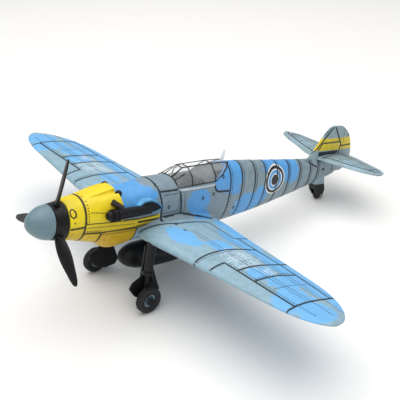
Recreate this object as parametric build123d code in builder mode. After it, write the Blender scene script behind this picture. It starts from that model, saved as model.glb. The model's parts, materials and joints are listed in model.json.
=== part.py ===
"""Display model of a single-seat low-wing propeller fighter, scale 1/48, snapped together from moulded parts.

Modelled in aircraft axes: +X port wing, +Y aft, +Z up, with the thrust line along Y through the origin and the
spinner tip at Y = 0. On export every piece is set on its three wheels, so that the floor is Z = 0.
"""
import os
from math import copysign, cos, pi, radians, sin, sqrt

from build123d import *

# ---- main sizes, mm ------------------------------------------------------------------------------
HALF_SPAN = 103.3
WALL = 1.2
CLEARANCE = 0.3
RUNNING_FIT = 0.05
STANCE_PITCH = 14.5
SECTION_POINTS = 20

# hull stations: aft position, half width, top, bottom, squareness
HULL = (
    (14.8, 8.1, 8.3, -8.1, 2.0),
    (21.7, 8.6, 9.9, -8.8, 2.1),
    (30.0, 9.0, 11.0, -10.4, 2.3),
    (38.0, 9.3, 11.7, -11.4, 2.4),
    (47.0, 9.4, 12.5, -11.8, 2.5),
    (57.0, 9.5, 14.2, -11.7, 2.6),
    (68.0, 9.3, 14.9, -11.4, 2.6),
    (78.0, 9.1, 16.9, -11.0, 2.6),
    (89.0, 8.6, 18.8, -10.5, 2.5),
    (100.0, 7.9, 19.0, -9.7, 2.3),
    (112.0, 7.1, 18.7, -8.2, 2.2),
    (124.0, 6.2, 18.0, -6.3, 2.2),
    (136.0, 5.4, 17.4, -3.8, 2.2),
    (148.0, 4.5, 16.8, -1.1, 2.2),
    (160.0, 3.6, 16.5, 1.8, 2.2),
    (170.0, 2.8, 17.3, 4.3, 2.2),
    (180.4, 2.1, 17.4, 7.2, 2.2),
)
CAVITY_START = 20.0
CAVITY_END = 165.0

# upper cowling, standing proud of the hull behind it
COWL = ((21.7, 8.6, 9.9, -8.8, 2.1), (29.0, 9.3, 11.6, -9.2, 2.4), (39.6, 10.0, 13.6, -9.6, 2.7))
COWL_FRONT = 21.7
COWL_REAR_TOP = 36.6
COWL_REAR_MID = (38.2, 7.0)
COWL_REAR_LOW = 38.6
COWL_SEAM = 1.4
CHIN_FRONT = 29.7
CHIN_REAR = 47.2
CHIN_TOP = -3.4
STRIP_REAR = 58.0
STRIP_RISE = 0.7
STRIP_BOTTOM = -1.5
TROUGH_FRONT = (3.6, 21.4, 9.8)
TROUGH_REAR = (4.9, 39.4, 13.0)
TROUGH_FRONT_RADIUS = 0.3
TROUGH_REAR_RADIUS = 1.7
BLISTER_AT = (4.9, 37.9, 11.2)
BLISTER_RADIUS = 1.45

# propeller
CONE_LENGTH = 9.0
CONE_RADIUS = 7.1
CONE_CURVE = ((0, 0), (1.6, 3.6), (4.6, 5.8), (CONE_LENGTH, CONE_RADIUS))
CONE_END_SLOPE = 0.14
HUB_FRONT = 9.35
HUB_REAR = 14.5
HUB_RADIUS = 8.0
GROOVE_RADIUS = 6.3
BLADE_PLANE = 11.8
BLADE_TIP = 27.7
BLADE_FIRST_ANGLE = 9.7
BLADE_COUNT = 3
BLADE_SOCKET_RADIUS = 1.6
BLADE_ROOT = 4.2
BLADE_PEG_OVERLAP = 0.8
# blade stations: distance out, chord, thickness, pitch
BLADE = (
    (7.2, 3.4, 2.2, 40.0),
    (10.5, 5.0, 1.7, 34.0),
    (15.0, 5.8, 1.3, 28.0),
    (20.0, 5.0, 1.0, 23.0),
    (24.5, 3.7, 0.8, 20.0),
    (27.0, 2.1, 0.6, 18.0),
    (27.7, 0.9, 0.5, 18.0),
)
SHAFT_RADIUS = 1.5
SHAFT_REAR = 20.2
RETAINER_RADIUS = 3.0
RETAINER_THICKNESS = 1.2
NOSE_WALL_REAR = 18.0
NOSE_CAVITY_RADIUS = 6.5

# wing
WING_STATIONS = (0.0, 12.0, 28.0, 44.0, 60.0, 74.0, 84.0, 91.0, 96.0, 99.5, 101.8, 102.9)
WING_LEAD_ROOT = 47.2
WING_TRAIL_ROOT = 93.0
WING_LEAD_SLOPE = 0.05
WING_LEAD_CURVE = 0.00034
WING_TRAIL_SLOPE = 0.125
WING_MID_ROOT = -4.75
WING_DIHEDRAL = 0.0335
WING_HALF_THICKNESS = 3.9
WING_THINNING = 0.0284
WING_TIP_THINNING = 0.75
WING_DROOP = 1.8
TAIL_DROOP = 0.9
DROOP_SHARE = 0.5
DROOP_FADE = 1.5
LEAD_TIP_START = 84.0
LEAD_TIP_SWEEP = 8.8
TRAIL_TIP_START = 76.0
TRAIL_TIP_SWEEP = 15.6
PROFILE_POSITIONS = (0.0, 0.015, 0.06, 0.14, 0.28, 0.48, 0.72, 1.0)
BELLY_FRONT = 47.2
BELLY_REAR = 94.6
BELLY_TOP = -4.9
# wing root fairing stations: aft position, height up the hull, reach along the wing
FAIRING = (
    (49.9, 1.2, 1.0), (52.3, 2.0, 2.2), (58.0, 2.7, 4.6), (66.0, 3.0, 6.0),
    (76.0, 3.1, 6.0), (84.0, 3.0, 5.6), (90.0, 2.5, 4.2), (96.5, 1.2, 1.6),
)
FAIRING_TUCK = 0.3
FAIRING_SINK = 0.2
FAIRING_ROOT = 1.0

# oil cooler bulge under the nose
CHIN = (
    (29.6, 9.0, 11.0, -10.4, 2.3), (32.0, 9.1, 11.2, -11.4, 2.3), (35.0, 9.2, 11.5, -13.2, 2.3),
    (39.0, 9.3, 12.0, -13.8, 2.4), (44.0, 9.4, 12.3, -12.9, 2.4), (47.3, 9.4, 12.5, -12.0, 2.5),
)

# cockpit and canopy
SILL_FRONT = (67.2, 11.5)
SILL_REAR = (89.2, 12.7)
CANOPY_REAR_TOP = (99.4, 19.6)
CANOPY_WALL = 0.8
CANOPY_ROOF_EDGE = 3.0
CANOPY_SILL_EDGE = 7.0
ROOF_INSET_SHARE = 0.4
SCREEN_INSET_SHARE = 1.4
SCREEN_REAR = 75.6
# canopy stations: aft position, then the half section from the roof edge down to the sill
CANOPY = (
    (67.2, (2.3, 14.9), (4.6, 14.3), (6.3, 13.2), (7.3, 11.0)),
    (72.4, (2.0, 18.7), (4.5, 16.8), (6.3, 14.9), (7.4, 11.0)),
    (76.3, (2.0, 18.9), (4.7, 16.9), (6.5, 15.0), (7.5, 11.0)),
    (89.2, (2.0, 19.6), (4.8, 17.2), (6.6, 15.2), (7.6, 11.0)),
    (99.4, (2.0, 19.6), (4.6, 17.9), (6.0, 16.0), (7.2, 11.0)),
)
TUB_FLOOR = 1.0
TUB_FRONT = 68.4
TUB_REAR = 90.0
TUB_TOP = 10.4
TUB_WALL = 1.0
SEAT_OUTLINE = ((76.6, TUB_FLOOR), (76.6, 4.6), (81.2, 4.2), (83.0, 12.6), (84.2, 12.6), (82.6, TUB_FLOOR))
SEAT_POCKET = ((77.4, 4.0), (80.8, 3.7), (82.4, 11.6), (77.4, 11.6))
SEAT_HALF_WIDTH = 3.1
SEAT_POCKET_HALF_WIDTH = 2.4
SEAT_CORNER = 0.5
PANEL_AFT = 69.6
PANEL_HEIGHT = 9.6
PANEL_SIZE = (9.6, 6.4)
PANEL_CORNER = 1.6
PANEL_THICKNESS = 0.9
DIAL_SPOTS = ((-2.6, 10.8), (0, 11.2), (2.6, 10.8), (-2.6, 8.2), (0, 8.4), (2.6, 8.2))
DIAL_RADIUS = 0.9
DIAL_RISE = 0.25
STICK_FOOT = (0, 75.0, TUB_FLOOR)
STICK_TOP = (0, 74.2, 7.2)
STICK_RADII = (0.45, 0.4)
GRIP_CENTRE = (0, 74.2, 7.4)
GRIP_RADIUS = 0.75
DECK_OUTLINE = ((84.6, 11.0), (86.0, 16.2), (98.5, 18.3), (99.4, 19.0), (99.4, 11.0))
MAST_HEIGHT = 5.0
# radio mast sections: aft position, half thickness, half chord
MAST_FOOT = (97.4, 0.5, 1.3)
MAST_TIP = (98.0, 0.35, 0.7)

# tail
FIN_STATIONS = (8.6, 12.0, 16.5, 21.2, 26.5, 30.0, 32.0, 33.2)
FIN_LEAD = (152.0, 154.0, 157.8, 161.6, 165.3, 167.9, 169.9, 173.4)
FIN_TRAIL = (186.6, 190.4, 191.9, 191.1, 188.5, 185.4, 182.4, 179.4)
FIN_HALF_THICKNESS = 1.6
FIN_TIP_THINNING = 0.6
HINGE_LINE = ((180.6, 5.0), (180.6, 20.2), (181.0, 23.7), (178.3, 27.1), (173.2, 36.0))
RUDDER_ZONE_REAR = 220.0
TAIL_STATIONS = (1.55, 6.0, 14.0, 22.0, 27.0, 29.7, 31.6, 32.5)
TAIL_LEAD = (163.4, 165.0, 167.2, 169.3, 170.7, 171.8, 173.2, 174.8)
TAIL_TRAIL = (189.2, 188.2, 186.4, 184.4, 183.0, 181.4, 179.4, 177.6)
TAIL_MID_ROOT = 17.3
TAIL_DIHEDRAL = 0.05
TAIL_HALF_THICKNESS = 1.15
TAIL_TIP_THINNING = 0.55
TIP_THINNING_POWER = 3

# main landing gear
WHEEL_OFFSET = 19.8
WHEEL_AFT = 51.2
WHEEL_HEIGHT = -32.2
TYRE_RADIUS = 5.8
TYRE_WIDTH = 3.2
RIM_RADIUS = 3.5
AXLE_RADIUS = 1.0
AXLE_CAP_RADIUS = 1.7
AXLE_CAP_THICKNESS = 0.6
STRUT_OFFSET = 16.9
STRUT_TOP_AFT = 49.9
STRUT_TOP = -4.6
STRUT_RADIUS = 2.0
STRUT_END_RADIUS = 1.9
OLEO_RADIUS = 0.9
KNUCKLE_HEIGHT = -20.6
KNUCKLE_RADIUS = 2.3
KNUCKLE_AFT = 50.5
KNUCKLE_THICKNESS = 1.6
LINK_PATH = ((STRUT_OFFSET, 52.6, -21.2), (STRUT_OFFSET, 54.2, -25.6), (STRUT_OFFSET, 51.4, -29.8))
LINK_RADIUS = 0.6
AXLE_BOSS_RADIUS = 1.6
AXLE_BOSS_LENGTH = 2.0
DOOR_OUTER = 15.6
DOOR_THICKNESS = 0.9
DOOR_OUTLINE = (
    (48.0, -8.0), (53.0, -8.0), (53.6, -18.0), (57.2, -25.4), (60.0, -30.4),
    (58.8, -33.0), (53.6, -34.2), (47.2, -32.2), (43.7, -28.4), (45.0, -25.6), (48.6, -23.6), (48.3, -15.0),
)
DOOR_CORNER = 1.2
DOOR_CLIPS = (-12.0, -17.0)
CLIP_AFT = 50.4
CLIP_SIZE = (2.4, 1.6, 1.6)
RIM_SET_BACK = 0.2
RIM_BORDER = 0.5
RIM_RECESS = 0.5
TYRE_CORNER = 0.85
TYRE_BEAD_DEPTH = 1.0
TYRE_BEAD_INSET = 0.6
TREAD_OFFSETS = (-0.5, 0.5)
TREAD_GROOVE = (0.25, 0.5)

# tail wheel
TAIL_WHEEL_AFT = 173.4
TAIL_WHEEL_RADIUS = 2.7
TAIL_WHEEL_WIDTH = 1.8
TAIL_AXLE_RADIUS = 0.6
FORK_GAP = 2.4
FORK_WIDTH = 4.4
FORK_UPPER = ((164.8, 6.0), (172.0, 8.0), (175.6, -1.0))
FORK_FRONT = (168.6, -1.6)
FORK_TOE = 1.6
FORK_PLAY = 0.2
FORK_CORNER = 0.6
FORK_SLOT_LENGTH = 20.0
TAIL_AXLE_OVERHANG = 0.4
TAIL_TYRE_CORNER = 0.6
TAIL_HUB_DEPTH = 0.8
TAIL_HUB_INSET = 0.3

# drop tank
TANK_HEIGHT = -21.2
TANK_PROFILE = (
    (48.0, 0.0), (48.7, 2.0), (50.6, 3.7), (54.0, 5.2), (59.0, 6.0), (66.0, 6.2),
    (75.0, 5.8), (84.0, 4.6), (92.0, 2.8), (98.0, 1.1), (99.6, 0.0),
)
RACK_FRONT = 60.0
RACK_REAR = 80.0
RACK_HALF_WIDTH = 2.2
RACK_TOP = -10.8

# radiators under the wings
RADIATOR_OFFSET = 32.0
RADIATOR_AFT = 70.0
RADIATOR_WIDTH = 15.0
RADIATOR_LENGTH = 20.0
RADIATOR_BOTTOM = -8.6
RADIATOR_CORNER = 1.5
RADIATOR_FLARE = 8.0

# air filter and intake on the port side
FILTER_FRONT = (11.6, 30.4, 5.0)
FILTER_REAR = (10.6, 51.0, 5.4)
FILTER_FRONT_RADIUS = 2.3
FILTER_REAR_RADIUS = 2.0
FILTER_BANDS = (0.8, 3.0)
FILTER_BAND_WIDTH = 1.2
FILTER_BAND_RISE = 0.3
SCOOP_OUTLINE = (
    (46.0, 6.6), (48.2, 8.3), (51.4, 8.6), (54.6, 7.4), (57.4, 5.4), (53.6, 4.2), (49.2, 3.9), (46.6, 4.8),
)
SCOOP_ROOT = 7.0
SCOOP_FACE = 10.9
SCOOP_CORNER = 0.5
SCOOP_RIM_WIDTH = 0.8
SCOOP_RIM_FACE = 10.3
EXHAUST_SINGLE = ((8.4, 32.6, 9.6), (11.0, 36.6, 7.3))
EXHAUST_PITCH = 3.4
EXHAUST_FIRST = 27.4
EXHAUST_HEIGHT = 4.4
EXHAUST_COUNT = 6
EXHAUST_RADIUS = 1.05
SINGLE_RADII = (1.25, 1.15)
SINGLE_BORE = 0.6
MANIFOLD_OFFSET = 9.3
MANIFOLD_RADIUS = 1.3
MANIFOLD_AHEAD = 1.6
MANIFOLD_BEHIND = 2.2
# one stub of the row: inner and outer end as offset, aft of its place, height above the manifold
STUB_INNER = (-8.4, -0.8, 0.0)
STUB_OUTER = (-11.4, 1.6, -0.6)

# space well outside the aircraft, for zones
FAR = 40.0

# stance on the floor
lean = radians(STANCE_PITCH)
tail_wheel_height = (
    (TAIL_WHEEL_AFT - WHEEL_AFT) * sin(lean) + WHEEL_HEIGHT * cos(lean) - TYRE_RADIUS + TAIL_WHEEL_RADIUS
) / cos(lean)

pieces = []


def deliver(piece, label):
    """Names a finished piece and keeps it for export."""
    piece.label = label
    pieces.append(piece)


def section_points(half_width, top, bottom, squareness):
    """Points around a rounded-box cross-section."""
    middle = (top + bottom) / 2
    half_height = (top - bottom) / 2
    points = []
    for step in range(SECTION_POINTS):
        angle = 2 * pi * step / SECTION_POINTS
        across = copysign(abs(sin(angle)) ** (2 / squareness), sin(angle))
        upward = copysign(abs(cos(angle)) ** (2 / squareness), cos(angle))
        points.append((half_width * across, middle + half_height * upward))
    return points


def hull_body(stations, inset):
    """Smooth body through the stations, drawn in by the inset."""
    with BuildPart() as body:
        for aft, half_width, top, bottom, squareness in stations:
            with BuildSketch(Plane.XZ.offset(-aft)):
                with BuildLine():
                    Spline(
                        section_points(half_width - inset, top - inset, bottom + inset, squareness),
                        periodic=True,
                    )
                make_face()
        loft()
    return body.part


def side_prism(outline, half_width):
    """Prism across the aircraft with an outline given in the side view."""
    with BuildPart() as prism:
        with BuildSketch(Plane.YZ):
            with BuildLine():
                Polyline(*outline, close=True)
            make_face()
        extrude(amount=half_width, both=True)
    return prism.part


def profile_thickness(position):
    """Relative half thickness of a lifting surface at a chord position."""
    shape = 2.969 * sqrt(position) - 1.26 * position - 3.516 * position**2 + 2.843 * position**3
    return shape - 1.036 * position**4 + 0.14 * position


def profile_sag(position):
    """Share of the nose droop left at a chord position."""
    return max(0.0, 1 - position / DROOP_SHARE) ** DROOP_FADE


def profile_curve(leading, trailing, middle, half_thickness, droop, side):
    """Points along the upper (1) or lower (-1) half of a profile, from nose to tail."""
    chord = trailing - leading
    curve = []
    for position in PROFILE_POSITIONS:
        height = side * half_thickness * profile_thickness(position) - droop * profile_sag(position)
        curve.append((leading + chord * position, middle + height))
    return curve


def surface_half(plane, stations, leads, trails, middles, thicknesses, droop, side):
    """Upper or lower half of a lifting surface, lofted along the plane's normal."""
    with BuildPart() as half:
        for station, lead, trail, middle, thickness in zip(stations, leads, trails, middles, thicknesses):
            curve = profile_curve(lead, trail, middle, thickness, droop * thickness / thicknesses[0], side)
            with BuildSketch(plane.offset(station)):
                with BuildLine():
                    Spline(*curve)
                    Polyline(curve[-1], (trail, middle), curve[0])
                make_face()
        loft()
    return half.part


def tip_fall(station, start):
    """Share of the tip's sweep already used up at a span station."""
    reach = max(0.0, (station - start) / (HALF_SPAN - start))
    return 1 - sqrt(1 - reach**2)


def wing_lead(station):
    """Aft position of the wing's leading edge."""
    line = WING_LEAD_ROOT + WING_LEAD_SLOPE * station + WING_LEAD_CURVE * station**2
    return line + LEAD_TIP_SWEEP * tip_fall(station, LEAD_TIP_START)


def wing_trail(station):
    """Aft position of the wing's trailing edge."""
    line = WING_TRAIL_ROOT - WING_TRAIL_SLOPE * station
    return line - TRAIL_TIP_SWEEP * tip_fall(station, TRAIL_TIP_START)


def wing_half_thickness(station):
    """Half thickness of the wing at its thickest point."""
    full = WING_HALF_THICKNESS - WING_THINNING * station
    return full * (1 - WING_TIP_THINNING * tip_fall(station, LEAD_TIP_START))


def wing_mid(station):
    """Height of the wing's chord plane."""
    return WING_MID_ROOT + WING_DIHEDRAL * station


def hull_half_width(aft, height):
    """Half width of the hull at an aft position and a height."""
    for ahead, behind in zip(HULL, HULL[1:]):
        if ahead[0] <= aft <= behind[0]:
            share = (aft - ahead[0]) / (behind[0] - ahead[0])
            _, half_width, top, bottom, squareness = (
                one + share * (other - one) for one, other in zip(ahead, behind)
            )
            level = abs(height - (top + bottom) / 2) / ((top - bottom) / 2)
            return half_width * (1 - level**squareness) ** (1 / squareness)
    raise ValueError("aft position outside the hull")


def wing_top(across, aft):
    """Height of the wing's upper surface, or of its chord plane ahead of or behind the wing."""
    lead = wing_lead(across)
    share = (aft - lead) / (wing_trail(across) - lead)
    if not 0 < share < 1:
        return wing_mid(across)
    thickness = wing_half_thickness(across)
    sag = WING_DROOP * thickness / WING_HALF_THICKNESS * profile_sag(share)
    return wing_mid(across) + thickness * profile_thickness(share) - sag


def both_sides(piece, label):
    """Delivers a port piece and its starboard twin."""
    deliver(piece, label + "_left")
    deliver(mirror(piece, about=Plane.YZ), label + "_right")


def rod(start, end, start_radius, end_radius):
    """Round rod, straight or tapered, between two points."""
    direction = Vector(*end) - Vector(*start)
    with BuildPart() as tapered:
        with BuildSketch(Plane(origin=start, z_dir=direction)):
            Circle(start_radius)
        with BuildSketch(Plane(origin=end, z_dir=direction)):
            Circle(end_radius)
        loft()
    return tapered.part


def bar(start, end, radius):
    """Round rod of one radius between two points."""
    return rod(start, end, radius, radius)


def disc(across, aft, height, radius, width):
    """Cylinder lying along X, starting at the given point and running to port."""
    return bar((across, aft, height), (across + width, aft, height), radius)


def thinned(half_thickness, share, stations):
    """Half thickness at each station of a surface that thins towards its tip."""
    return [half_thickness * (1 - share * (at / stations[-1]) ** TIP_THINNING_POWER) for at in stations]


def wheel_section(centre):
    """Plane through a wheel's centre for its half section: width along X, radius upward."""
    return Plane(origin=centre, x_dir=(1, 0, 0), z_dir=(0, -1, 0))


def canopy_section(half, inset):
    """Outline of a canopy station, both sides, drawn in by the inset."""
    port = []
    for across, height in half:
        share = 1.0 if across > CANOPY_ROOF_EDGE else ROOF_INSET_SHARE
        drop = inset if across < CANOPY_SILL_EDGE else 0.0
        port.append((across - inset * share, height - drop))
    starboard = [(-across, height) for across, height in reversed(port)]
    return port + starboard


def canopy_body(inset):
    """Canopy solid with flat roof and screen, drawn in by the inset."""
    with BuildPart() as body:
        for aft, *half in CANOPY:
            setback = SCREEN_INSET_SHARE * inset if aft == CANOPY[0][0] else 0.0
            with BuildSketch(Plane.XZ.offset(-aft - setback)):
                with BuildLine():
                    Polyline(*canopy_section(half, inset), close=True)
                make_face()
        loft(ruled=True)
    return body.part


# ---- master volumes ------------------------------------------------------------------------------
hull = hull_body(HULL, 0)
cavity_stations = [station for station in HULL if CAVITY_START < station[0] < CAVITY_END]
hull_inside = hull_body(cavity_stations, WALL)
wing_volume = {}
for side in (1, -1):
    wing_volume[side] = surface_half(
        Plane.YZ,
        WING_STATIONS,
        [wing_lead(x) for x in WING_STATIONS],
        [wing_trail(x) for x in WING_STATIONS],
        [wing_mid(x) for x in WING_STATIONS],
        [wing_half_thickness(x) for x in WING_STATIONS],
        WING_DROOP,
        side,
    )
wing_whole = wing_volume[1] + wing_volume[-1]
wing_lower_starboard = mirror(wing_volume[-1], about=Plane.YZ)
cockpit_opening = side_prism(
    (SILL_FRONT, SILL_REAR, CANOPY_REAR_TOP, (CANOPY_REAR_TOP[0], FAR), (SILL_FRONT[0], FAR)), FAR
)
upper_cowl_zone = side_prism(
    (
        (COWL_FRONT, COWL_SEAM), (COWL_FRONT, FAR), (COWL_REAR_TOP, FAR), (COWL_REAR_TOP, COWL[-1][2]),
        COWL_REAR_MID, (COWL_REAR_LOW, COWL_SEAM),
    ),
    FAR,
)
lower_cowl_zone = side_prism(
    (
        (COWL_FRONT, COWL_SEAM), (CHIN_REAR, COWL_SEAM), (STRIP_REAR, COWL_SEAM + STRIP_RISE),
        (STRIP_REAR, STRIP_BOTTOM), (CHIN_REAR, CHIN_TOP), (CHIN_FRONT, CHIN_TOP),
        (CHIN_FRONT, -FAR), (COWL_FRONT, -FAR),
    ),
    FAR,
)
chin_zone = side_prism(
    ((CHIN_FRONT, CHIN_TOP), (CHIN_REAR, CHIN_TOP), (CHIN_REAR, -FAR), (CHIN_FRONT, -FAR)), FAR
)
belly_zone = side_prism(
    ((BELLY_FRONT, BELLY_TOP), (BELLY_REAR, BELLY_TOP), (BELLY_REAR, -FAR), (BELLY_FRONT, -FAR)), FAR
)

# ---- nose and cowling ----------------------------------------------------------------------------
with BuildPart() as nose_ring:
    add(hull)
    with BuildSketch(Plane.XZ.offset(-HULL[0][0])):
        Circle(FAR)
    extrude(amount=-(COWL_FRONT - HULL[0][0]), mode=Mode.INTERSECT)
    with BuildSketch(Plane.XZ.offset(-HULL[0][0])):
        Circle(SHAFT_RADIUS + RUNNING_FIT)
    extrude(amount=-(COWL_FRONT - HULL[0][0]), mode=Mode.SUBTRACT)
    with BuildSketch(Plane.XZ.offset(-NOSE_WALL_REAR)):
        Circle(NOSE_CAVITY_RADIUS)
    extrude(amount=-(COWL_FRONT - NOSE_WALL_REAR), mode=Mode.SUBTRACT)
deliver(nose_ring.part, "nose_ring")

trough = rod(TROUGH_FRONT, TROUGH_REAR, TROUGH_FRONT_RADIUS, TROUGH_REAR_RADIUS)
trough_starboard = mirror(trough, about=Plane.YZ)
with BuildPart() as cowl_block:
    add(hull_body(COWL, 0))
    add(upper_cowl_zone, mode=Mode.INTERSECT)
with BuildPart() as cowl_upper:
    add(cowl_block.part)
    for hollow in (hull_inside, trough, trough_starboard):
        add(hollow, mode=Mode.SUBTRACT)
deliver(cowl_upper.part, "cowl_upper")

with BuildPart() as cowl_lower:
    add(hull)
    add(lower_cowl_zone, mode=Mode.INTERSECT)
    add(hull_inside, mode=Mode.SUBTRACT)
deliver(cowl_lower.part, "cowl_lower")

with BuildPart() as oil_cooler:
    add(hull_body(CHIN, 0))
    add(chin_zone, mode=Mode.INTERSECT)
    add(hull_inside, mode=Mode.SUBTRACT)
deliver(oil_cooler.part, "oil_cooler")

# ---- fuselage halves -----------------------------------------------------------------------------
with BuildPart() as fuselage:
    add(hull)
    with BuildSketch(Plane.XZ.offset(-HULL[0][0])):
        Circle(FAR)
    extrude(amount=-(COWL_FRONT - HULL[0][0]), mode=Mode.SUBTRACT)
    add(hull_inside, mode=Mode.SUBTRACT)
    for zone in (upper_cowl_zone, lower_cowl_zone, chin_zone, belly_zone, cockpit_opening):
        add(zone, mode=Mode.SUBTRACT)
    add(wing_volume[-1], mode=Mode.SUBTRACT)
    add(wing_lower_starboard, mode=Mode.SUBTRACT)
    split(bisect_by=Plane.YZ, keep=Keep.TOP)
both_sides(fuselage.part, "fuselage")

# ---- wing ----------------------------------------------------------------------------------------
with BuildPart() as wing_lower:
    add(hull)
    add(belly_zone, mode=Mode.INTERSECT)
    add(hull_inside, mode=Mode.SUBTRACT)
    add(wing_volume[-1])
    add(wing_lower_starboard)
deliver(wing_lower.part, "wing_lower")

with BuildPart() as wing_upper:
    add(wing_volume[1])
    add(hull, mode=Mode.SUBTRACT)
both_sides(wing_upper.part, "wing_upper")

with BuildPart() as wing_fairing:
    for aft, rise, reach in FAIRING:
        level = wing_top(hull_half_width(aft, WING_MID_ROOT), aft)
        side_wall = hull_half_width(aft, level)
        with BuildSketch(Plane.XZ.offset(-aft)):
            upper = (hull_half_width(aft, level + rise) - FAIRING_TUCK, level + rise)
            outer = (side_wall + reach, wing_top(side_wall + reach, aft) - FAIRING_SINK)
            corner = (side_wall - FAIRING_ROOT, level - FAIRING_ROOT)
            with BuildLine():
                Spline(upper, outer, tangents=((0, -1), (1, 0)))
                Polyline(outer, corner, upper)
            make_face()
    loft()
    add(hull, mode=Mode.SUBTRACT)
    add(wing_whole, mode=Mode.SUBTRACT)
both_sides(wing_fairing.part, "wing_fairing")

# ---- canopy and cockpit --------------------------------------------------------------------------
canopy_outside = canopy_body(0)
canopy_inside = canopy_body(CANOPY_WALL)
canopy_parts = (
    ("windscreen", SILL_FRONT[0] - 1, SCREEN_REAR),
    ("canopy_hood", SCREEN_REAR, SILL_REAR[0]),
    ("canopy_rear", SILL_REAR[0], CANOPY_REAR_TOP[0] + 1),
)
for label, front, rear in canopy_parts:
    with BuildPart() as glazing:
        add(canopy_outside)
        add(canopy_inside, mode=Mode.SUBTRACT)
        add(cockpit_opening, mode=Mode.INTERSECT)
        add(side_prism(((front, 0), (rear, 0), (rear, FAR), (front, FAR)), FAR), mode=Mode.INTERSECT)
    deliver(glazing.part, label)

with BuildPart() as radio_mast:
    with BuildSketch(Plane.XY.offset(CANOPY_REAR_TOP[1])):
        with Locations((0, MAST_FOOT[0])):
            Ellipse(MAST_FOOT[1], MAST_FOOT[2])
    with BuildSketch(Plane.XY.offset(CANOPY_REAR_TOP[1] + MAST_HEIGHT)):
        with Locations((0, MAST_TIP[0])):
            Ellipse(MAST_TIP[1], MAST_TIP[2])
    loft()
deliver(radio_mast.part, "radio_mast")

tub_block = side_prism(((TUB_FRONT, 0), (TUB_REAR, 0), (TUB_REAR, TUB_TOP), (TUB_FRONT, TUB_TOP)), FAR)
tub_space = side_prism(
    (
        (TUB_FRONT + TUB_WALL, TUB_FLOOR), (TUB_REAR - TUB_WALL, TUB_FLOOR),
        (TUB_REAR - TUB_WALL, FAR), (TUB_FRONT + TUB_WALL, FAR),
    ),
    FAR,
)
with BuildPart() as tub_hollow:
    add(hull_body(cavity_stations, WALL + TUB_WALL))
    add(tub_space, mode=Mode.INTERSECT)
with BuildPart() as cockpit_tub:
    add(hull_inside)
    add(tub_block, mode=Mode.INTERSECT)
    add(tub_hollow.part, mode=Mode.SUBTRACT)
deliver(cockpit_tub.part, "cockpit_tub")

with BuildPart() as pilot_seat:
    with BuildSketch(Plane.YZ):
        with BuildLine():
            Polyline(*SEAT_OUTLINE, close=True)
        make_face()
    extrude(amount=SEAT_HALF_WIDTH, both=True)
    fillet(pilot_seat.edges().filter_by(Axis.X).group_by(Axis.Z)[-1], SEAT_CORNER)
    with BuildSketch(Plane.YZ):
        with BuildLine():
            Polyline(*SEAT_POCKET, close=True)
        make_face()
    extrude(amount=SEAT_POCKET_HALF_WIDTH, both=True, mode=Mode.SUBTRACT)
deliver(pilot_seat.part, "pilot_seat")

with BuildPart() as instrument_panel:
    with BuildSketch(Plane.XZ.offset(-PANEL_AFT)):
        with Locations((0, PANEL_HEIGHT)):
            RectangleRounded(*PANEL_SIZE, PANEL_CORNER)
    extrude(amount=-PANEL_THICKNESS)
    with BuildSketch(Plane.XZ.offset(-PANEL_AFT - PANEL_THICKNESS)):
        with Locations(*DIAL_SPOTS):
            Circle(DIAL_RADIUS)
    extrude(amount=-DIAL_RISE)
    add(cockpit_tub.part, mode=Mode.SUBTRACT)
deliver(instrument_panel.part, "instrument_panel")

with BuildPart() as control_stick:
    add(rod(STICK_FOOT, STICK_TOP, *STICK_RADII))
    with Locations(GRIP_CENTRE):
        Sphere(GRIP_RADIUS)
deliver(control_stick.part, "control_stick")

with BuildPart() as rear_deck:
    add(canopy_inside)
    add(side_prism(DECK_OUTLINE, FAR), mode=Mode.INTERSECT)
    add(cockpit_opening, mode=Mode.INTERSECT)
    add(pilot_seat.part, mode=Mode.SUBTRACT)
deliver(rear_deck.part, "rear_deck")

# ---- tail ----------------------------------------------------------------------------------------
fin_sides = []
for side in (1, -1):
    fin_sides.append(
        surface_half(
            Plane(origin=(0, 0, 0), x_dir=(0, 1, 0), z_dir=(0, 0, 1)),
            FIN_STATIONS,
            FIN_LEAD,
            FIN_TRAIL,
            [0.0] * len(FIN_STATIONS),
            thinned(FIN_HALF_THICKNESS, FIN_TIP_THINNING, FIN_STATIONS),
            0.0,
            side,
        )
    )
fin_whole = fin_sides[0] + fin_sides[1]
behind_hinge = side_prism(
    (*HINGE_LINE, (RUDDER_ZONE_REAR, HINGE_LINE[-1][1]), (RUDDER_ZONE_REAR, HINGE_LINE[0][1])), FAR
)
with BuildPart() as tail_fin:
    add(fin_whole)
    add(behind_hinge, mode=Mode.SUBTRACT)
    add(hull, mode=Mode.SUBTRACT)
with BuildPart() as rudder:
    add(fin_whole)
    add(behind_hinge, mode=Mode.INTERSECT)
    add(hull, mode=Mode.SUBTRACT)
deliver(tail_fin.part, "tail_fin")
deliver(rudder.part, "rudder")

tail_mids = [TAIL_MID_ROOT + TAIL_DIHEDRAL * x for x in TAIL_STATIONS]
tail_thicknesses = thinned(TAIL_HALF_THICKNESS, TAIL_TIP_THINNING, TAIL_STATIONS)
with BuildPart() as tailplane:
    for side in (1, -1):
        add(surface_half(
            Plane.YZ, TAIL_STATIONS, TAIL_LEAD, TAIL_TRAIL, tail_mids, tail_thicknesses, TAIL_DROOP, side
        ))
both_sides(tailplane.part, "tailplane")

# ---- propeller -----------------------------------------------------------------------------------
blade_angles = [BLADE_FIRST_ANGLE + 360 / BLADE_COUNT * number for number in range(BLADE_COUNT)]
blade_foot = (0, BLADE_PLANE, BLADE_ROOT)
blade_socket = bar(blade_foot, (0, BLADE_PLANE, HUB_RADIUS + WALL), BLADE_SOCKET_RADIUS)

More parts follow.
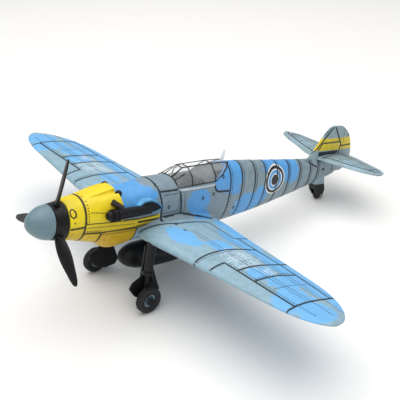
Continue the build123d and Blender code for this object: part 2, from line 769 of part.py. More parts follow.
with BuildPart() as spinner_cone:
    with BuildSketch(Plane.YZ):
        with BuildLine():
            Spline(*CONE_CURVE, tangents=((0, 1), (1, CONE_END_SLOPE)))
            Polyline((CONE_LENGTH, CONE_RADIUS), (CONE_LENGTH, 0), (0, 0))
        make_face()
    revolve(axis=Axis.Y)
deliver(spinner_cone.part, "spinner_cone")

with BuildPart() as propeller_hub:
    with BuildSketch(Plane.YZ):
        with BuildLine():
            Polyline(
                (CONE_LENGTH, 0), (CONE_LENGTH, GROOVE_RADIUS), (HUB_FRONT, GROOVE_RADIUS),
                (HUB_FRONT, CONE_RADIUS), (HUB_REAR, HUB_RADIUS), (HUB_REAR, 0), close=True,
            )
        make_face()
    revolve(axis=Axis.Y)
    for angle in blade_angles:
        add(blade_socket.rotate(Axis.Y, angle), mode=Mode.SUBTRACT)
    add(bar((0, HUB_FRONT, 0), (0, HUB_REAR, 0), SHAFT_RADIUS), mode=Mode.SUBTRACT)
deliver(propeller_hub.part, "propeller_hub")

with BuildPart() as propeller_blade:
    for reach, chord, thickness, pitch in BLADE:
        chord_line = (cos(radians(pitch)), -sin(radians(pitch)), 0)
        with BuildSketch(Plane(origin=(0, BLADE_PLANE, reach), x_dir=chord_line)):
            Ellipse(chord / 2, thickness / 2)
    loft()
    add(bar(blade_foot, (0, BLADE_PLANE, BLADE[0][0] + BLADE_PEG_OVERLAP), BLADE_SOCKET_RADIUS))
    add(propeller_hub.part, mode=Mode.SUBTRACT)
for number, angle in enumerate(blade_angles, start=1):
    deliver(propeller_blade.part.rotate(Axis.Y, angle), f"propeller_blade_{number}")

propeller_shaft = bar((0, HUB_FRONT, 0), (0, SHAFT_REAR, 0), SHAFT_RADIUS)
deliver(propeller_shaft, "propeller_shaft")

with BuildPart() as shaft_retainer:
    with BuildSketch(Plane.XZ.offset(-NOSE_WALL_REAR - CLEARANCE)):
        Circle(RETAINER_RADIUS)
        Circle(SHAFT_RADIUS, mode=Mode.SUBTRACT)
    extrude(amount=-RETAINER_THICKNESS)
deliver(shaft_retainer.part, "shaft_retainer")

# ---- fittings on the nose ------------------------------------------------------------------------
with BuildPart() as gun_blister:
    with Locations(BLISTER_AT):
        Sphere(BLISTER_RADIUS)
    for solid_part in (cowl_upper.part, hull_inside, fuselage.part):
        add(solid_part, mode=Mode.SUBTRACT)
both_sides(gun_blister.part, "gun_blister")

with BuildPart() as intake_scoop:
    with BuildSketch(Plane.YZ.offset(SCOOP_ROOT)):
        with BuildLine():
            Polyline(*SCOOP_OUTLINE, close=True)
        make_face()
        fillet(vertices(), SCOOP_CORNER)
    extrude(amount=SCOOP_FACE - SCOOP_ROOT)
    add(hull, mode=Mode.SUBTRACT)

with BuildPart() as scoop_rim:
    with BuildSketch(Plane.YZ.offset(SCOOP_ROOT)):
        with BuildLine():
            Polyline(*SCOOP_OUTLINE, close=True)
        make_face()
        fillet(vertices(), SCOOP_CORNER)
        offset(amount=SCOOP_RIM_WIDTH)
    extrude(amount=SCOOP_RIM_FACE - SCOOP_ROOT)
    for solid_part in (hull, intake_scoop.part):
        add(solid_part, mode=Mode.SUBTRACT)

filter_axis = Vector(*FILTER_REAR) - Vector(*FILTER_FRONT)
filter_plane = Plane(origin=FILTER_FRONT, z_dir=filter_axis)
with BuildPart() as intake_filter:
    with BuildSketch(filter_plane):
        Circle(FILTER_FRONT_RADIUS)
    with BuildSketch(filter_plane.offset(filter_axis.length)):
        Circle(FILTER_REAR_RADIUS)
    loft()
    for band_start in FILTER_BANDS:
        with BuildSketch(filter_plane.offset(band_start)):
            Circle(FILTER_FRONT_RADIUS + FILTER_BAND_RISE)
        extrude(amount=FILTER_BAND_WIDTH)
    with Locations(FILTER_FRONT):
        Sphere(FILTER_FRONT_RADIUS - FILTER_BAND_RISE)
    for solid_part in (hull, cowl_block.part, scoop_rim.part, intake_scoop.part):
        add(solid_part, mode=Mode.SUBTRACT)
outer_filter = intake_filter.part.solids().sort_by(SortBy.VOLUME)[-1]
deliver(Part(outer_filter.wrapped), "intake_filter")
deliver(intake_scoop.part, "intake_scoop")
deliver(scoop_rim.part, "scoop_rim")

with BuildPart() as exhaust_left:
    add(rod(*EXHAUST_SINGLE, *SINGLE_RADII))
    add(bar(*EXHAUST_SINGLE, SINGLE_BORE), mode=Mode.SUBTRACT)
    for solid_part in (hull, cowl_block.part, outer_filter):
        add(solid_part, mode=Mode.SUBTRACT)
deliver(exhaust_left.part, "exhaust_left")

with BuildPart() as exhaust_right:
    manifold_front = EXHAUST_FIRST - MANIFOLD_AHEAD
    manifold_rear = EXHAUST_FIRST + EXHAUST_PITCH * (EXHAUST_COUNT - 1) + MANIFOLD_BEHIND
    add(bar(
        (-MANIFOLD_OFFSET, manifold_front, EXHAUST_HEIGHT), (-MANIFOLD_OFFSET, manifold_rear, EXHAUST_HEIGHT),
        MANIFOLD_RADIUS,
    ))
    for number in range(EXHAUST_COUNT):
        place = Vector(0, EXHAUST_FIRST + EXHAUST_PITCH * number, EXHAUST_HEIGHT)
        add(bar(place + Vector(*STUB_INNER), place + Vector(*STUB_OUTER), EXHAUST_RADIUS))
    for solid_part in (hull, cowl_block.part):
        add(solid_part, mode=Mode.SUBTRACT)
deliver(exhaust_right.part, "exhaust_right")

# ---- main landing gear ---------------------------------------------------------------------------
axle_end = WHEEL_OFFSET + TYRE_WIDTH / 2 + CLEARANCE + AXLE_CAP_THICKNESS
boss_end = WHEEL_OFFSET - TYRE_WIDTH / 2 - CLEARANCE
with BuildPart() as gear_leg:
    knuckle = (STRUT_OFFSET, KNUCKLE_AFT, KNUCKLE_HEIGHT)
    axle_centre = (STRUT_OFFSET, WHEEL_AFT, WHEEL_HEIGHT)
    add(rod((STRUT_OFFSET, STRUT_TOP_AFT, STRUT_TOP), knuckle, STRUT_RADIUS, STRUT_END_RADIUS))
    add(bar(knuckle, axle_centre, OLEO_RADIUS))
    with Locations(knuckle):
        Cylinder(KNUCKLE_RADIUS, KNUCKLE_THICKNESS)
    for link_start, link_end in zip(LINK_PATH, LINK_PATH[1:]):
        add(bar(link_start, link_end, LINK_RADIUS))
    add(disc(boss_end - AXLE_BOSS_LENGTH, WHEEL_AFT, WHEEL_HEIGHT, AXLE_BOSS_RADIUS, AXLE_BOSS_LENGTH))
    axle_root = boss_end - AXLE_BOSS_LENGTH / 2
    add(disc(axle_root, WHEEL_AFT, WHEEL_HEIGHT, AXLE_RADIUS, axle_end - axle_root))
    add(wing_whole, mode=Mode.SUBTRACT)
both_sides(gear_leg.part, "gear_leg")

with BuildPart() as axle_cap:
    with BuildSketch(Plane.YZ.offset(axle_end - AXLE_CAP_THICKNESS)):
        with Locations((WHEEL_AFT, WHEEL_HEIGHT)):
            Circle(AXLE_CAP_RADIUS)
            Circle(AXLE_RADIUS, mode=Mode.SUBTRACT)
    extrude(amount=AXLE_CAP_THICKNESS)
both_sides(axle_cap.part, "axle_cap")

with BuildPart() as gear_door:
    with BuildSketch(Plane.YZ.offset(DOOR_OUTER - DOOR_THICKNESS)) as door_face:
        with BuildLine():
            Polyline(*DOOR_OUTLINE, close=True)
        make_face()
        fillet(door_face.vertices(), DOOR_CORNER)
    extrude(amount=DOOR_THICKNESS)
    for height in DOOR_CLIPS:
        with Locations((DOOR_OUTER, CLIP_AFT, height)):
            Box(*CLIP_SIZE)
    for solid_part in (gear_leg.part, wing_whole):
        add(solid_part, mode=Mode.SUBTRACT)
both_sides(gear_door.part, "gear_door")

with BuildPart() as wheel_rim:
    with BuildSketch(Plane.YZ.offset(WHEEL_OFFSET - TYRE_WIDTH / 2)):
        with Locations((WHEEL_AFT, WHEEL_HEIGHT)):
            Circle(RIM_RADIUS)
            Circle(AXLE_RADIUS + RUNNING_FIT, mode=Mode.SUBTRACT)
    extrude(amount=TYRE_WIDTH - RIM_SET_BACK)
    with BuildSketch(Plane.YZ.offset(WHEEL_OFFSET + TYRE_WIDTH / 2 - RIM_SET_BACK)):
        with Locations((WHEEL_AFT, WHEEL_HEIGHT)):
            Circle(RIM_RADIUS - RIM_BORDER)
            Circle(AXLE_CAP_RADIUS + RIM_SET_BACK, mode=Mode.SUBTRACT)
    extrude(amount=-RIM_RECESS, mode=Mode.SUBTRACT)
both_sides(wheel_rim.part, "wheel_rim")

with BuildPart() as tyre:
    with BuildSketch(wheel_section((WHEEL_OFFSET, WHEEL_AFT, WHEEL_HEIGHT))):
        with Locations((0, (TYRE_RADIUS + RIM_RADIUS) / 2)):
            RectangleRounded(TYRE_WIDTH, TYRE_RADIUS - RIM_RADIUS, TYRE_CORNER)
        with Locations((0, RIM_RADIUS + TYRE_BEAD_DEPTH / 2)):
            Rectangle(TYRE_WIDTH - TYRE_BEAD_INSET, TYRE_BEAD_DEPTH)
        for across in TREAD_OFFSETS:
            with Locations((across, TYRE_RADIUS)):
                Rectangle(*TREAD_GROOVE, mode=Mode.SUBTRACT)
    revolve(axis=Axis((WHEEL_OFFSET, WHEEL_AFT, WHEEL_HEIGHT), (1, 0, 0)))
both_sides(tyre.part, "tyre")

# ---- tail wheel ----------------------------------------------------------------------------------
wheel_slot = (TAIL_WHEEL_AFT, tail_wheel_height)
fork_toe = wheel_slot[0] + FORK_TOE
fork_heel = wheel_slot[0] - 2 * TAIL_AXLE_RADIUS
fork_bottom = wheel_slot[1] - 2 * TAIL_AXLE_RADIUS
fork_slot_height = 2 * (TAIL_WHEEL_RADIUS + CLEARANCE) + FORK_PLAY
with BuildPart() as tail_fork:
    add(side_prism(
        (*FORK_UPPER, (fork_toe, fork_bottom), (fork_heel, fork_bottom), FORK_FRONT), FORK_WIDTH / 2
    ))
    fillet(tail_fork.edges().filter_by(Axis.X).group_by(Axis.Z)[0], FORK_CORNER)
    with Locations((0, *wheel_slot)):
        Box(FORK_GAP, FORK_SLOT_LENGTH, fork_slot_height, mode=Mode.SUBTRACT)
    add(disc(-FORK_WIDTH, *wheel_slot, TAIL_AXLE_RADIUS, 2 * FORK_WIDTH), mode=Mode.SUBTRACT)
    add(hull, mode=Mode.SUBTRACT)
deliver(tail_fork.part, "tail_fork")

tail_axle_start = -FORK_WIDTH / 2 - TAIL_AXLE_OVERHANG
tail_axle = disc(tail_axle_start, *wheel_slot, TAIL_AXLE_RADIUS, -2 * tail_axle_start)
deliver(tail_axle, "tail_axle")

with BuildPart() as tail_wheel:
    with BuildSketch(wheel_section((0, *wheel_slot))):
        inner_radius = TAIL_AXLE_RADIUS + RUNNING_FIT
        with Locations((0, (TAIL_WHEEL_RADIUS + inner_radius) / 2)):
            RectangleRounded(TAIL_WHEEL_WIDTH, TAIL_WHEEL_RADIUS - inner_radius, TAIL_TYRE_CORNER)
        with Locations((0, inner_radius + TAIL_HUB_DEPTH / 2)):
            Rectangle(TAIL_WHEEL_WIDTH - TAIL_HUB_INSET, TAIL_HUB_DEPTH)
    revolve(axis=Axis((0, *wheel_slot), (1, 0, 0)))
deliver(tail_wheel.part, "tail_wheel")

# ---- drop tank -----------------------------------------------------------------------------------
with BuildPart() as drop_tank:
    with BuildSketch(Plane.YZ):
        with BuildLine():
            Spline(*[(aft, radius + TANK_HEIGHT) for aft, radius in TANK_PROFILE])
            Line((TANK_PROFILE[-1][0], TANK_HEIGHT), (TANK_PROFILE[0][0], TANK_HEIGHT))
        make_face()
    revolve(axis=Axis((0, 0, TANK_HEIGHT), (0, 1, 0)))
deliver(drop_tank.part, "drop_tank")

with BuildPart() as tank_rack:
    with BuildSketch(Plane.XY.offset(TANK_HEIGHT)):
        with Locations((0, (RACK_FRONT + RACK_REAR) / 2)):
            Ellipse(RACK_HALF_WIDTH, (RACK_REAR - RACK_FRONT) / 2)
    extrude(amount=RACK_TOP - TANK_HEIGHT)
    for solid_part in (drop_tank.part, hull):
        add(solid_part, mode=Mode.SUBTRACT)
deliver(tank_rack.part, "tank_rack")

with BuildPart() as radiator:
    with BuildSketch(Plane.XY.offset(RADIATOR_BOTTOM)):
        with Locations((RADIATOR_OFFSET, RADIATOR_AFT)):
            RectangleRounded(RADIATOR_WIDTH, RADIATOR_LENGTH, RADIATOR_CORNER)
    extrude(amount=WING_MID_ROOT - RADIATOR_BOTTOM, taper=-RADIATOR_FLARE)
    add(wing_whole, mode=Mode.SUBTRACT)
lower_radiator = radiator.part.solids().sort_by(Axis.Z)[0]
both_sides(Part(lower_radiator.wrapped), "radiator")

# ---- stance and export ---------------------------------------------------------------------------
standing = []
for piece in pieces:
    turned = piece.rotate(Axis.X, -STANCE_PITCH)
    turned.label = piece.label
    standing.append(turned)
boxes = [piece.bounding_box() for piece in standing]
shift = Vector(
    -(min(box.min.X for box in boxes) + max(box.max.X for box in boxes)) / 2,
    -(min(box.min.Y for box in boxes) + max(box.max.Y for box in boxes)) / 2,
    -min(box.min.Z for box in boxes),
)
os.makedirs("parts", exist_ok=True)
for piece in standing:
    label = piece.label
    placed = piece.moved(Location(shift))
    placed.label = label
    export_step(placed, f"parts/{label}.step")
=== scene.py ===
"""Looks of the propeller plane model: paint, panel lines, glazing frames, stage, lights and camera."""

import json
import math

import bmesh
import bpy
from mathutils import Matrix, Vector
from mathutils.bvhtree import BVHTree


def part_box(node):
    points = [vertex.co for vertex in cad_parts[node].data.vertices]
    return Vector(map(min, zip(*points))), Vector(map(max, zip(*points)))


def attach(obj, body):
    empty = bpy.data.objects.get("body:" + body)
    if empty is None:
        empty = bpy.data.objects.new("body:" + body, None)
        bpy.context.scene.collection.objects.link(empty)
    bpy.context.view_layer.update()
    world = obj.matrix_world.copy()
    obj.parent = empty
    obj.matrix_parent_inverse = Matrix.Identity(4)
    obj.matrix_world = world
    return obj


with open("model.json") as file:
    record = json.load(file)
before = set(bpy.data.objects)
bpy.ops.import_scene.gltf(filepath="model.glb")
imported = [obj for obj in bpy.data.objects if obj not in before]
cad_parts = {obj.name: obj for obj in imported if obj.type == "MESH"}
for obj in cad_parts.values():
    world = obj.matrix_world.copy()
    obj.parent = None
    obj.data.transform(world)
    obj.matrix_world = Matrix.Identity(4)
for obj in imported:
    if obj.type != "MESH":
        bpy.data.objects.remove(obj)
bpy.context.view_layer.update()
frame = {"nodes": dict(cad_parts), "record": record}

# ---- the aeroplane's own axes -------------------------------------------------------------------
# Paint is laid out in millimetres along the thrust line: X to port, Y aft of the spinner tip, Z up.
MM = 0.001
AIRFRAME = "airframe"
SPIN_POINT_AFT = 10.0
spin = next(j for j in frame["record"]["behaviour"]["joints"] if j["name"] == "propeller_spin")
lean = math.atan2(-spin["axis"][2], spin["axis"][1])
to_row = Matrix.Rotation(-lean, 4, "X")
origin = Vector(spin["pos_m"]) - to_row.to_3x3() @ Vector((0, SPIN_POINT_AFT * MM, 0))
to_row = Matrix.Translation(origin) @ to_row @ Matrix.Scale(MM, 4)


def in_row(point):
    """A point given in the aeroplane's millimetres, in the row frame's metres."""
    return to_row @ Vector(point)


# ---- shader building ----------------------------------------------------------------------------
NODE_STEP = 40
NODE_DROP = 120
NODE_ROWS = 9
MIX_FIRST_COLOUR = 6
MIX_SECOND_COLOUR = 7
MIX_COLOUR_RESULT = 2
NOISE_RANGE = (0.3, 0.7)


class Net:
    """A node tree with short calls for the nodes the paints are made of."""

    def __init__(self, tree):
        self.tree = tree
        self.count = 0

    def node(self, kind, **settings):
        """A new node with its settings, set out in rows so that a person can read the tree."""
        made = self.tree.nodes.new(kind)
        self.count += 1
        made.location = (self.count * NODE_STEP, -(self.count % NODE_ROWS) * NODE_DROP)
        for name, value in settings.items():
            setattr(made, name, value)
        return made

    def feed(self, socket, value):
        """Links a socket to another node's output, or sets its value; None leaves it as it is."""
        if isinstance(value, bpy.types.NodeSocket):
            self.tree.links.new(value, socket)
        elif value is not None:
            socket.default_value = value

    def math(self, operation, first, second=None, third=None):
        """One arithmetic step on numbers."""
        made = self.node("ShaderNodeMath", operation=operation)
        for socket, value in zip(made.inputs, (first, second, third)):
            self.feed(socket, value)
        return made.outputs[0]

    def vector(self, operation, first, second=None):
        """One arithmetic step on vectors; lengths and distances come out as numbers."""
        made = self.node("ShaderNodeVectorMath", operation=operation)
        self.feed(made.inputs[0], first)
        self.feed(made.inputs[1], second)
        return made.outputs["Value" if operation in ("LENGTH", "DISTANCE") else "Vector"]

    def split(self, vector):
        """The X, Y and Z outputs of a vector."""
        made = self.node("ShaderNodeSeparateXYZ")
        self.feed(made.inputs[0], vector)
        return made.outputs

    def join(self, x=0.0, y=0.0, z=0.0):
        """A vector made from its parts."""
        made = self.node("ShaderNodeCombineXYZ")
        for socket, value in zip(made.inputs, (x, y, z)):
            self.feed(socket, value)
        return made.outputs[0]

    def step(self, value, low, high, start=0.0, end=1.0):
        """Smooth change from start to end as the value goes from low to high."""
        made = self.node("ShaderNodeMapRange", interpolation_type="SMOOTHSTEP")
        for socket, number in zip(made.inputs, (value, low, high, start, end)):
            self.feed(socket, number)
        return made.outputs[0]

    def noise(self, vector, scale, detail=3.0, roughness=0.5):
        """Fractal noise, 0 to 1."""
        made = self.node("ShaderNodeTexNoise")
        self.feed(made.inputs["Vector"], vector)
        self.feed(made.inputs["Scale"], scale)
        self.feed(made.inputs["Detail"], detail)
        self.feed(made.inputs["Roughness"], roughness)
        return made.outputs["Fac"]

    def mix(self, share, first, second, blend="MIX"):
        """The first colour turning into the second as the share grows."""
        made = self.node("ShaderNodeMix", data_type="RGBA", blend_type=blend)
        self.feed(made.inputs["Factor"], share)
        self.feed(made.inputs[MIX_FIRST_COLOUR], colour(first))
        self.feed(made.inputs[MIX_SECOND_COLOUR], colour(second))
        return made.outputs[MIX_COLOUR_RESULT]

    def group(self, tree, *values):
        """The outputs of a node group fed with values in order."""
        made = self.node("ShaderNodeGroup", node_tree=tree)
        for socket, value in zip(made.inputs, values):
            self.feed(socket, value)
        return made.outputs


def colour(value):
    """Adds the alpha to a plain colour."""
    return (*value, 1.0) if isinstance(value, tuple) and len(value) == 3 else value


def make_blob_group():
    """Node group: distance from the middle of an oval patch, 1 at its edge."""
    tree = bpy.data.node_groups.new("blob", "ShaderNodeTree")
    for name in ("Point", "Centre", "Radii"):
        tree.interface.new_socket(name, in_out="INPUT", socket_type="NodeSocketVector")
    tree.interface.new_socket("Level", in_out="OUTPUT", socket_type="NodeSocketFloat")
    net = Net(tree)
    point, centre, radii = list(net.node("NodeGroupInput").outputs)[:3]
    level = net.vector("LENGTH", net.vector("DIVIDE", net.vector("SUBTRACT", point, centre), radii))
    net.feed(net.node("NodeGroupOutput").inputs[0], level)
    return tree


blob_group = make_blob_group()

# Line styles: width in mm, swing of the width along the line, rivet pitch in mm (0 for a line).
SEAM = (1.30, 0.30, 0.0)
FINE = (0.95, 0.26, 0.0)
RIVETS = (0.76, 0.0, 0.98)
SMEAR = (2.1, 0.10, 0.0)
SCREW = (0.8, 0.0, 0.0)
MARK = (0.70, 0.0, 0.0)
TRIM = (0.9, 0.1, 0.0)
LARGE_CAP = (1.7, 0.0, 0.0)
SMALL_CAP = (1.4, 0.0, 0.0)

# Slow bending of the camouflage patches, and the fine bump of all painted plastic.
SWIRL_SCALE = 0.13
SWIRL_DETAIL = 3.0
NO_PATCH = 99.0
BUMP_STRENGTH = 0.35
BUMP_DEPTH = 0.12


class Paint(Net):
    """A painted plastic material in the aeroplane's own millimetres."""

    def __init__(self, name):
        self.material = bpy.data.materials.new(name)
        self.material.use_nodes = True
        super().__init__(self.material.node_tree)
        self.shader = self.tree.nodes["Principled BSDF"]
        place = self.node("ShaderNodeMapping")
        to_plane = to_row.inverted()
        place.inputs["Location"].default_value = to_plane.translation
        place.inputs["Rotation"].default_value = (lean, 0, 0)
        place.inputs["Scale"].default_value = (1 / MM, 1 / MM, 1 / MM)
        self.feed(place.inputs["Vector"], self.node("ShaderNodeTexCoord").outputs["Object"])
        self.place = place.outputs[0]
        self.across, self.aft, self.up = self.split(self.place)
        self.span = self.math("ABSOLUTE", self.across)
        self.side_view = self.join(self.aft, self.up)
        self.plan_view = self.join(self.span, self.aft)

    def patches(self, view, ovals, wobble=0.9, wobble_scale=0.34, edge=0.10, swirl=7.0):
        """Mask of ragged oval patches given as (centre, radii), bent by a slow swirl."""
        bend = self.node("ShaderNodeTexNoise")
        self.feed(bend.inputs["Vector"], self.place)
        self.feed(bend.inputs["Scale"], SWIRL_SCALE)
        self.feed(bend.inputs["Detail"], SWIRL_DETAIL)
        centred = self.vector("SUBTRACT", bend.outputs["Color"], (0.5, 0.5, 0.5))
        view = self.vector("ADD", view, self.vector("MULTIPLY", centred, (swirl, swirl, 0.0)))
        level = NO_PATCH
        for centre, radii in ovals:
            oval = self.group(blob_group, view, (*centre, 0), (*radii, 1))
            level = self.math("MINIMUM", level, oval[0])
        speckle = self.noise(self.place, wobble_scale, detail=4.0, roughness=0.6)
        ragged = self.math("SUBTRACT", speckle, 0.5)
        level = self.math("MULTIPLY_ADD", ragged, wobble, level)
        return self.step(level, 1 + edge, 1 - edge)

    def shade(self, base, lows=0.90, highs=1.08, scale=0.35):
        """Uneven hand-sprayed tone over a colour."""
        cloud = self.noise(self.place, scale, detail=5.0, roughness=0.6)
        tone = self.step(cloud, *NOISE_RANGE, lows, highs)
        return self.mix(1.0, base, self.join(tone, tone, tone), "MULTIPLY")

    def between(self, value, rising, falling):
        """Mask of values past one soft edge and short of another, each given as (0 at, 1 at)."""
        return self.math("MULTIPLY", self.step(value, *rising), self.step(value, *falling))

    def crests(self, value, frequency, low, high):
        """Mask of the crests of a sine wave."""
        return self.step(self.math("SINE", self.math("MULTIPLY", value, frequency)), low, high)

    def stretched(self, first, first_scale, second, second_scale, third):
        """A vector of two scaled numbers and a plain one, for noise drawn out in one direction."""
        return self.join(
            self.math("MULTIPLY", first, first_scale), self.math("MULTIPLY", second, second_scale), third
        )

    def round_axle(self, centre):
        """Distance from an axle and the angle round it, on the side view."""
        offset = self.vector("SUBTRACT", self.side_view, (*centre, 0))
        parts = self.split(offset)
        return self.vector("LENGTH", offset), self.math("ARCTAN2", parts[1], parts[0])

    def finish(self, base, roughness=(0.38, 0.52), grain=0.10, grooves=None, specular=0.45):
        """Connects colour, roughness and bump to the shader."""
        self.feed(self.shader.inputs["Base Color"], base)
        sheen = self.noise(self.place, scale=0.8, detail=4.0, roughness=0.65)
        self.feed(self.shader.inputs["Roughness"], self.step(sheen, *NOISE_RANGE, *roughness))
        self.shader.inputs["Specular IOR Level"].default_value = specular
        grit = self.noise(self.place, scale=3.2, detail=3.0, roughness=0.6)
        height = self.math("MULTIPLY", grit, grain)
        if grooves is not None:
            height = self.math("SUBTRACT", height, grooves)
        bump = self.node("ShaderNodeBump")
        bump.inputs["Strength"].default_value = BUMP_STRENGTH
        bump.inputs["Distance"].default_value = BUMP_DEPTH * MM
        self.feed(bump.inputs["Height"], height)
        self.feed(self.shader.inputs["Normal"], bump.outputs[0])
        return self.material


def ring(centre, radii, count):
    """Closed oval line as points."""
    return [
        (centre[0] + radii[0] * math.cos(2 * math.pi * n / count),
         centre[1] + radii[1] * math.sin(2 * math.pi * n / count))
        for n in range(count + 1)
    ]


# ---- colours ------------------------------------------------------------------------------------
YELLOW = (0.87, 0.68, 0.012)
# Darker copy of the yellow, used as painted shade on the lower side of the nose.
YELLOW_PAINTED_SHADE = (0.66, 0.45, 0.010)
SKY = (0.100, 0.360, 0.74)
WING_SKY = (0.170, 0.470, 0.83)
GREY = (0.220, 0.300, 0.350)
WING_GREY = (0.273, 0.427, 0.515)
TAIL_GREY = (0.270, 0.375, 0.420)
PALE = (0.62, 0.76, 0.88)
BLACK = (0.012, 0.012, 0.014)
SATIN_BLACK = (0.0055, 0.0055, 0.007)
SATIN_SPECULAR = 0.28
PLAIN_TONES = (0.82, 1.16)

# ---- wings --------------------------------------------------------------------------------------
WING_SEAMS = (
    (SEAM, ((9.8, 47.0), (12.2, 56.5), (15.0, 65.1), (15.3, 81.3))),
    (SEAM, ((43.6, 40.0), (42.2, 55.0), (42.2, 64.0), (43.0, 72.0), (44.6, 81.6))),
    (SEAM, ((51.6, 42.0), (50.6, 51.0), (50.6, 58.1), (87.7, 58.5))),
    (SEAM, ((57.8, 58.2), (57.9, 70.0), (59.4, 90.0))),
    (SEAM, ((67.1, 58.3), (67.2, 70.0), (68.2, 80.2))),
    (SEAM, ((87.9, 44.0), (87.6, 64.0), (87.9, 78.2), (88.4, 86.0))),
    (FINE, ((15.3, 81.3), (32.7, 80.2))),
    (FINE, ((32.7, 82.2), (58.0, 81.6), (88.0, 78.1))),
    (FINE, ((32.7, 80.2), (33.6, 96.0))),
)
WING_RIVETS = (
    (RIVETS, ((24.0, 64.6), (41.0, 64.4))), (RIVETS, ((24.0, 66.3), (41.0, 66.1))),
    (RIVETS, ((44.0, 65.6), (57.0, 65.4))), (RIVETS, ((44.0, 67.4), (57.0, 67.2))),
    (RIVETS, ((59.0, 65.2), (86.5, 65.6))), (RIVETS, ((59.0, 67.2), (98.0, 67.6))),
    (RIVETS, ((18.0, 76.0), (57.0, 74.8))), (RIVETS, ((24.0, 78.0), (57.0, 77.0))),
    (RIVETS, ((59.0, 73.8), (86.5, 72.6))), (RIVETS, ((59.0, 76.0), (98.0, 73.8))),
    (RIVETS, ((43.6, 50.0), (43.8, 79.0))), (RIVETS, ((66.0, 60.0), (66.2, 79.0))),
    (RIVETS, ((51.8, 59.6), (87.0, 59.9))), (RIVETS, ((34.0, 83.4), (88.0, 79.4))),
    (RIVETS, ((88.8, 60.0), (95.5, 60.6))), (RIVETS, ((75.0, 61.0), (76.0, 78.0))),
)
WING_PATCHES = (
    ((26.0, 58.4), (9.4, 5.0)), ((38.0, 66.8), (5.6, 5.2)),
    ((63.0, 65.4), (5.6, 6.0)), ((73.0, 68.6), (6.6, 6.6)),
)
OUTER_PATCHES = (
    ((84.0, 62.0), (7.2, 9.8)), ((94.0, 63.0), (6.6, 8.6)), ((40.0, 78.6), (14.0, 3.8)),
    ((72.0, 79.6), (50.0, 5.8)), ((28.0, 88.0), (16.0, 4.4)),
)
WING_STROKES = (((50.0, 67.5), (8.5, 8.0)), ((62.0, 70.0), (6.0, 3.6)), ((54.6, 63.0), (4.2, 5.0)))
WING_DOTS = ((LARGE_CAP, ((14.6, 62.5), (16.0, 62.9))), (SMALL_CAP, ((20.7, 62.4), (22.0, 62.8))))
STROKE_STRENGTH = 0.62


def wing_paint(name, upper):
    """Sky patches on grey, with crossed pale brush strokes on the upper side."""
    paint = Paint(name)
    ovals = (*WING_PATCHES, *OUTER_PATCHES) if upper else OUTER_PATCHES
    camouflage = paint.patches(paint.plan_view, ovals)
    base = paint.mix(camouflage, paint.shade(WING_GREY), paint.shade(WING_SKY, 0.93, 1.05))
    if upper:
        along_view = paint.stretched(paint.span, 0.14, paint.aft, 1.05, paint.up)
        along = paint.step(paint.noise(along_view, scale=1.0, detail=2.0), 0.50, 0.60)
        across_view = paint.stretched(paint.span, 0.95, paint.aft, 0.12, paint.up)
        across = paint.step(paint.noise(across_view, scale=1.0, detail=2.0), 0.52, 0.62)
        brushed = paint.math("MAXIMUM", along, across)
        area = paint.patches(paint.plan_view, WING_STROKES, wobble=0.5, wobble_scale=0.2, edge=0.2)
        strokes = paint.math("MULTIPLY", brushed, area)
        base = paint.mix(paint.math("MULTIPLY", strokes, STROKE_STRENGTH), base, PALE)
    return paint.finish(base)


# ---- fuselage -----------------------------------------------------------------------------------
FRAME_STATIONS = (98.9, 106.8, 115.9, 123.5, 132.1, 140.9, 149.8, 158.1, 164.4)
FUSELAGE_LINES = (
    (SEAM, ((56.6, 14.0), (58.4, 6.0), (58.9, -2.0), (59.8, -4.4))),
    (SEAM, ((57.4, 11.0), (67.4, 11.2))),
    (SEAM, ((68.4, 10.8), (69.4, 4.0), (70.0, 0.4))),
    (SEAM, ((58.9, 0.2), (69.6, 0.9), (80.0, -1.4), (90.2, -3.8))),
    (SEAM, ((88.4, 11.6), (89.2, 9.4), (91.4, 8.3), (98.6, 7.9))),
    (SEAM, ((151.5, 17.9), (157.0, 15.6), (163.4, 12.8))),
    (FINE, ((176.4, 14.4), (177.2, 9.0))),
    (RIVETS, ((60.0, 9.6), (67.4, 9.8))), (RIVETS, ((60.0, 1.9), (68.6, 2.3))),
    (RIVETS, ((71.0, 9.4), (71.6, 1.2))), (RIVETS, ((90.0, 8.6), (97.0, 8.4))),
    (RIVETS, ((68.0, 3.0), (68.4, 9.6))),
    (SMEAR, ((168.0, 11.0), (170.2, 11.4))), (SMEAR, ((164.8, 16.2), (166.6, 16.4))),
)
FUSELAGE_MARKS = ((62.4, 4.4), (88.2, 7.6), (94.0, 14.6), (104.2, -1.2), (81.8, 6.4))
FUSELAGE_PATCHES = (
    ((46.0, 9.6), (10.4, 3.8)), ((79.6, 4.6), (6.8, 6.0)), ((82.6, -3.6), (6.8, 4.2)),
    ((95.0, 14.8), (7.4, 7.4)), ((102.0, 14.4), (5.6, 8.8)), ((112.6, -1.0), (8.6, 6.6)),
    ((121.6, 2.6), (5.4, 5.2)), ((134.0, 15.2), (11.0, 6.6)), ((143.0, 12.6), (6.0, 6.0)),
)
SILL_TRIM = ((TRIM, ((68.4, 10.8), (88.6, 11.7))),)
ROUNDEL = (130.6, 9.6)
ROUNDEL_EDGE = 7.1
ROUNDEL_PALE = (0.78, 0.82, 0.82)
# How far each ring's outer edge lies inside the roundel's edge, and its colour.
ROUNDEL_RINGS = (
    (0.0, ROUNDEL_PALE), (0.6, BLACK), (1.9, ROUNDEL_PALE),
    (2.5, SKY), (4.0, ROUNDEL_PALE), (4.5, BLACK),
)
ROUNDEL_WEAR = 0.3
ROUNDEL_SOFTNESS = 0.08
ROUNDEL_FROM_MIDDLE = 2.0


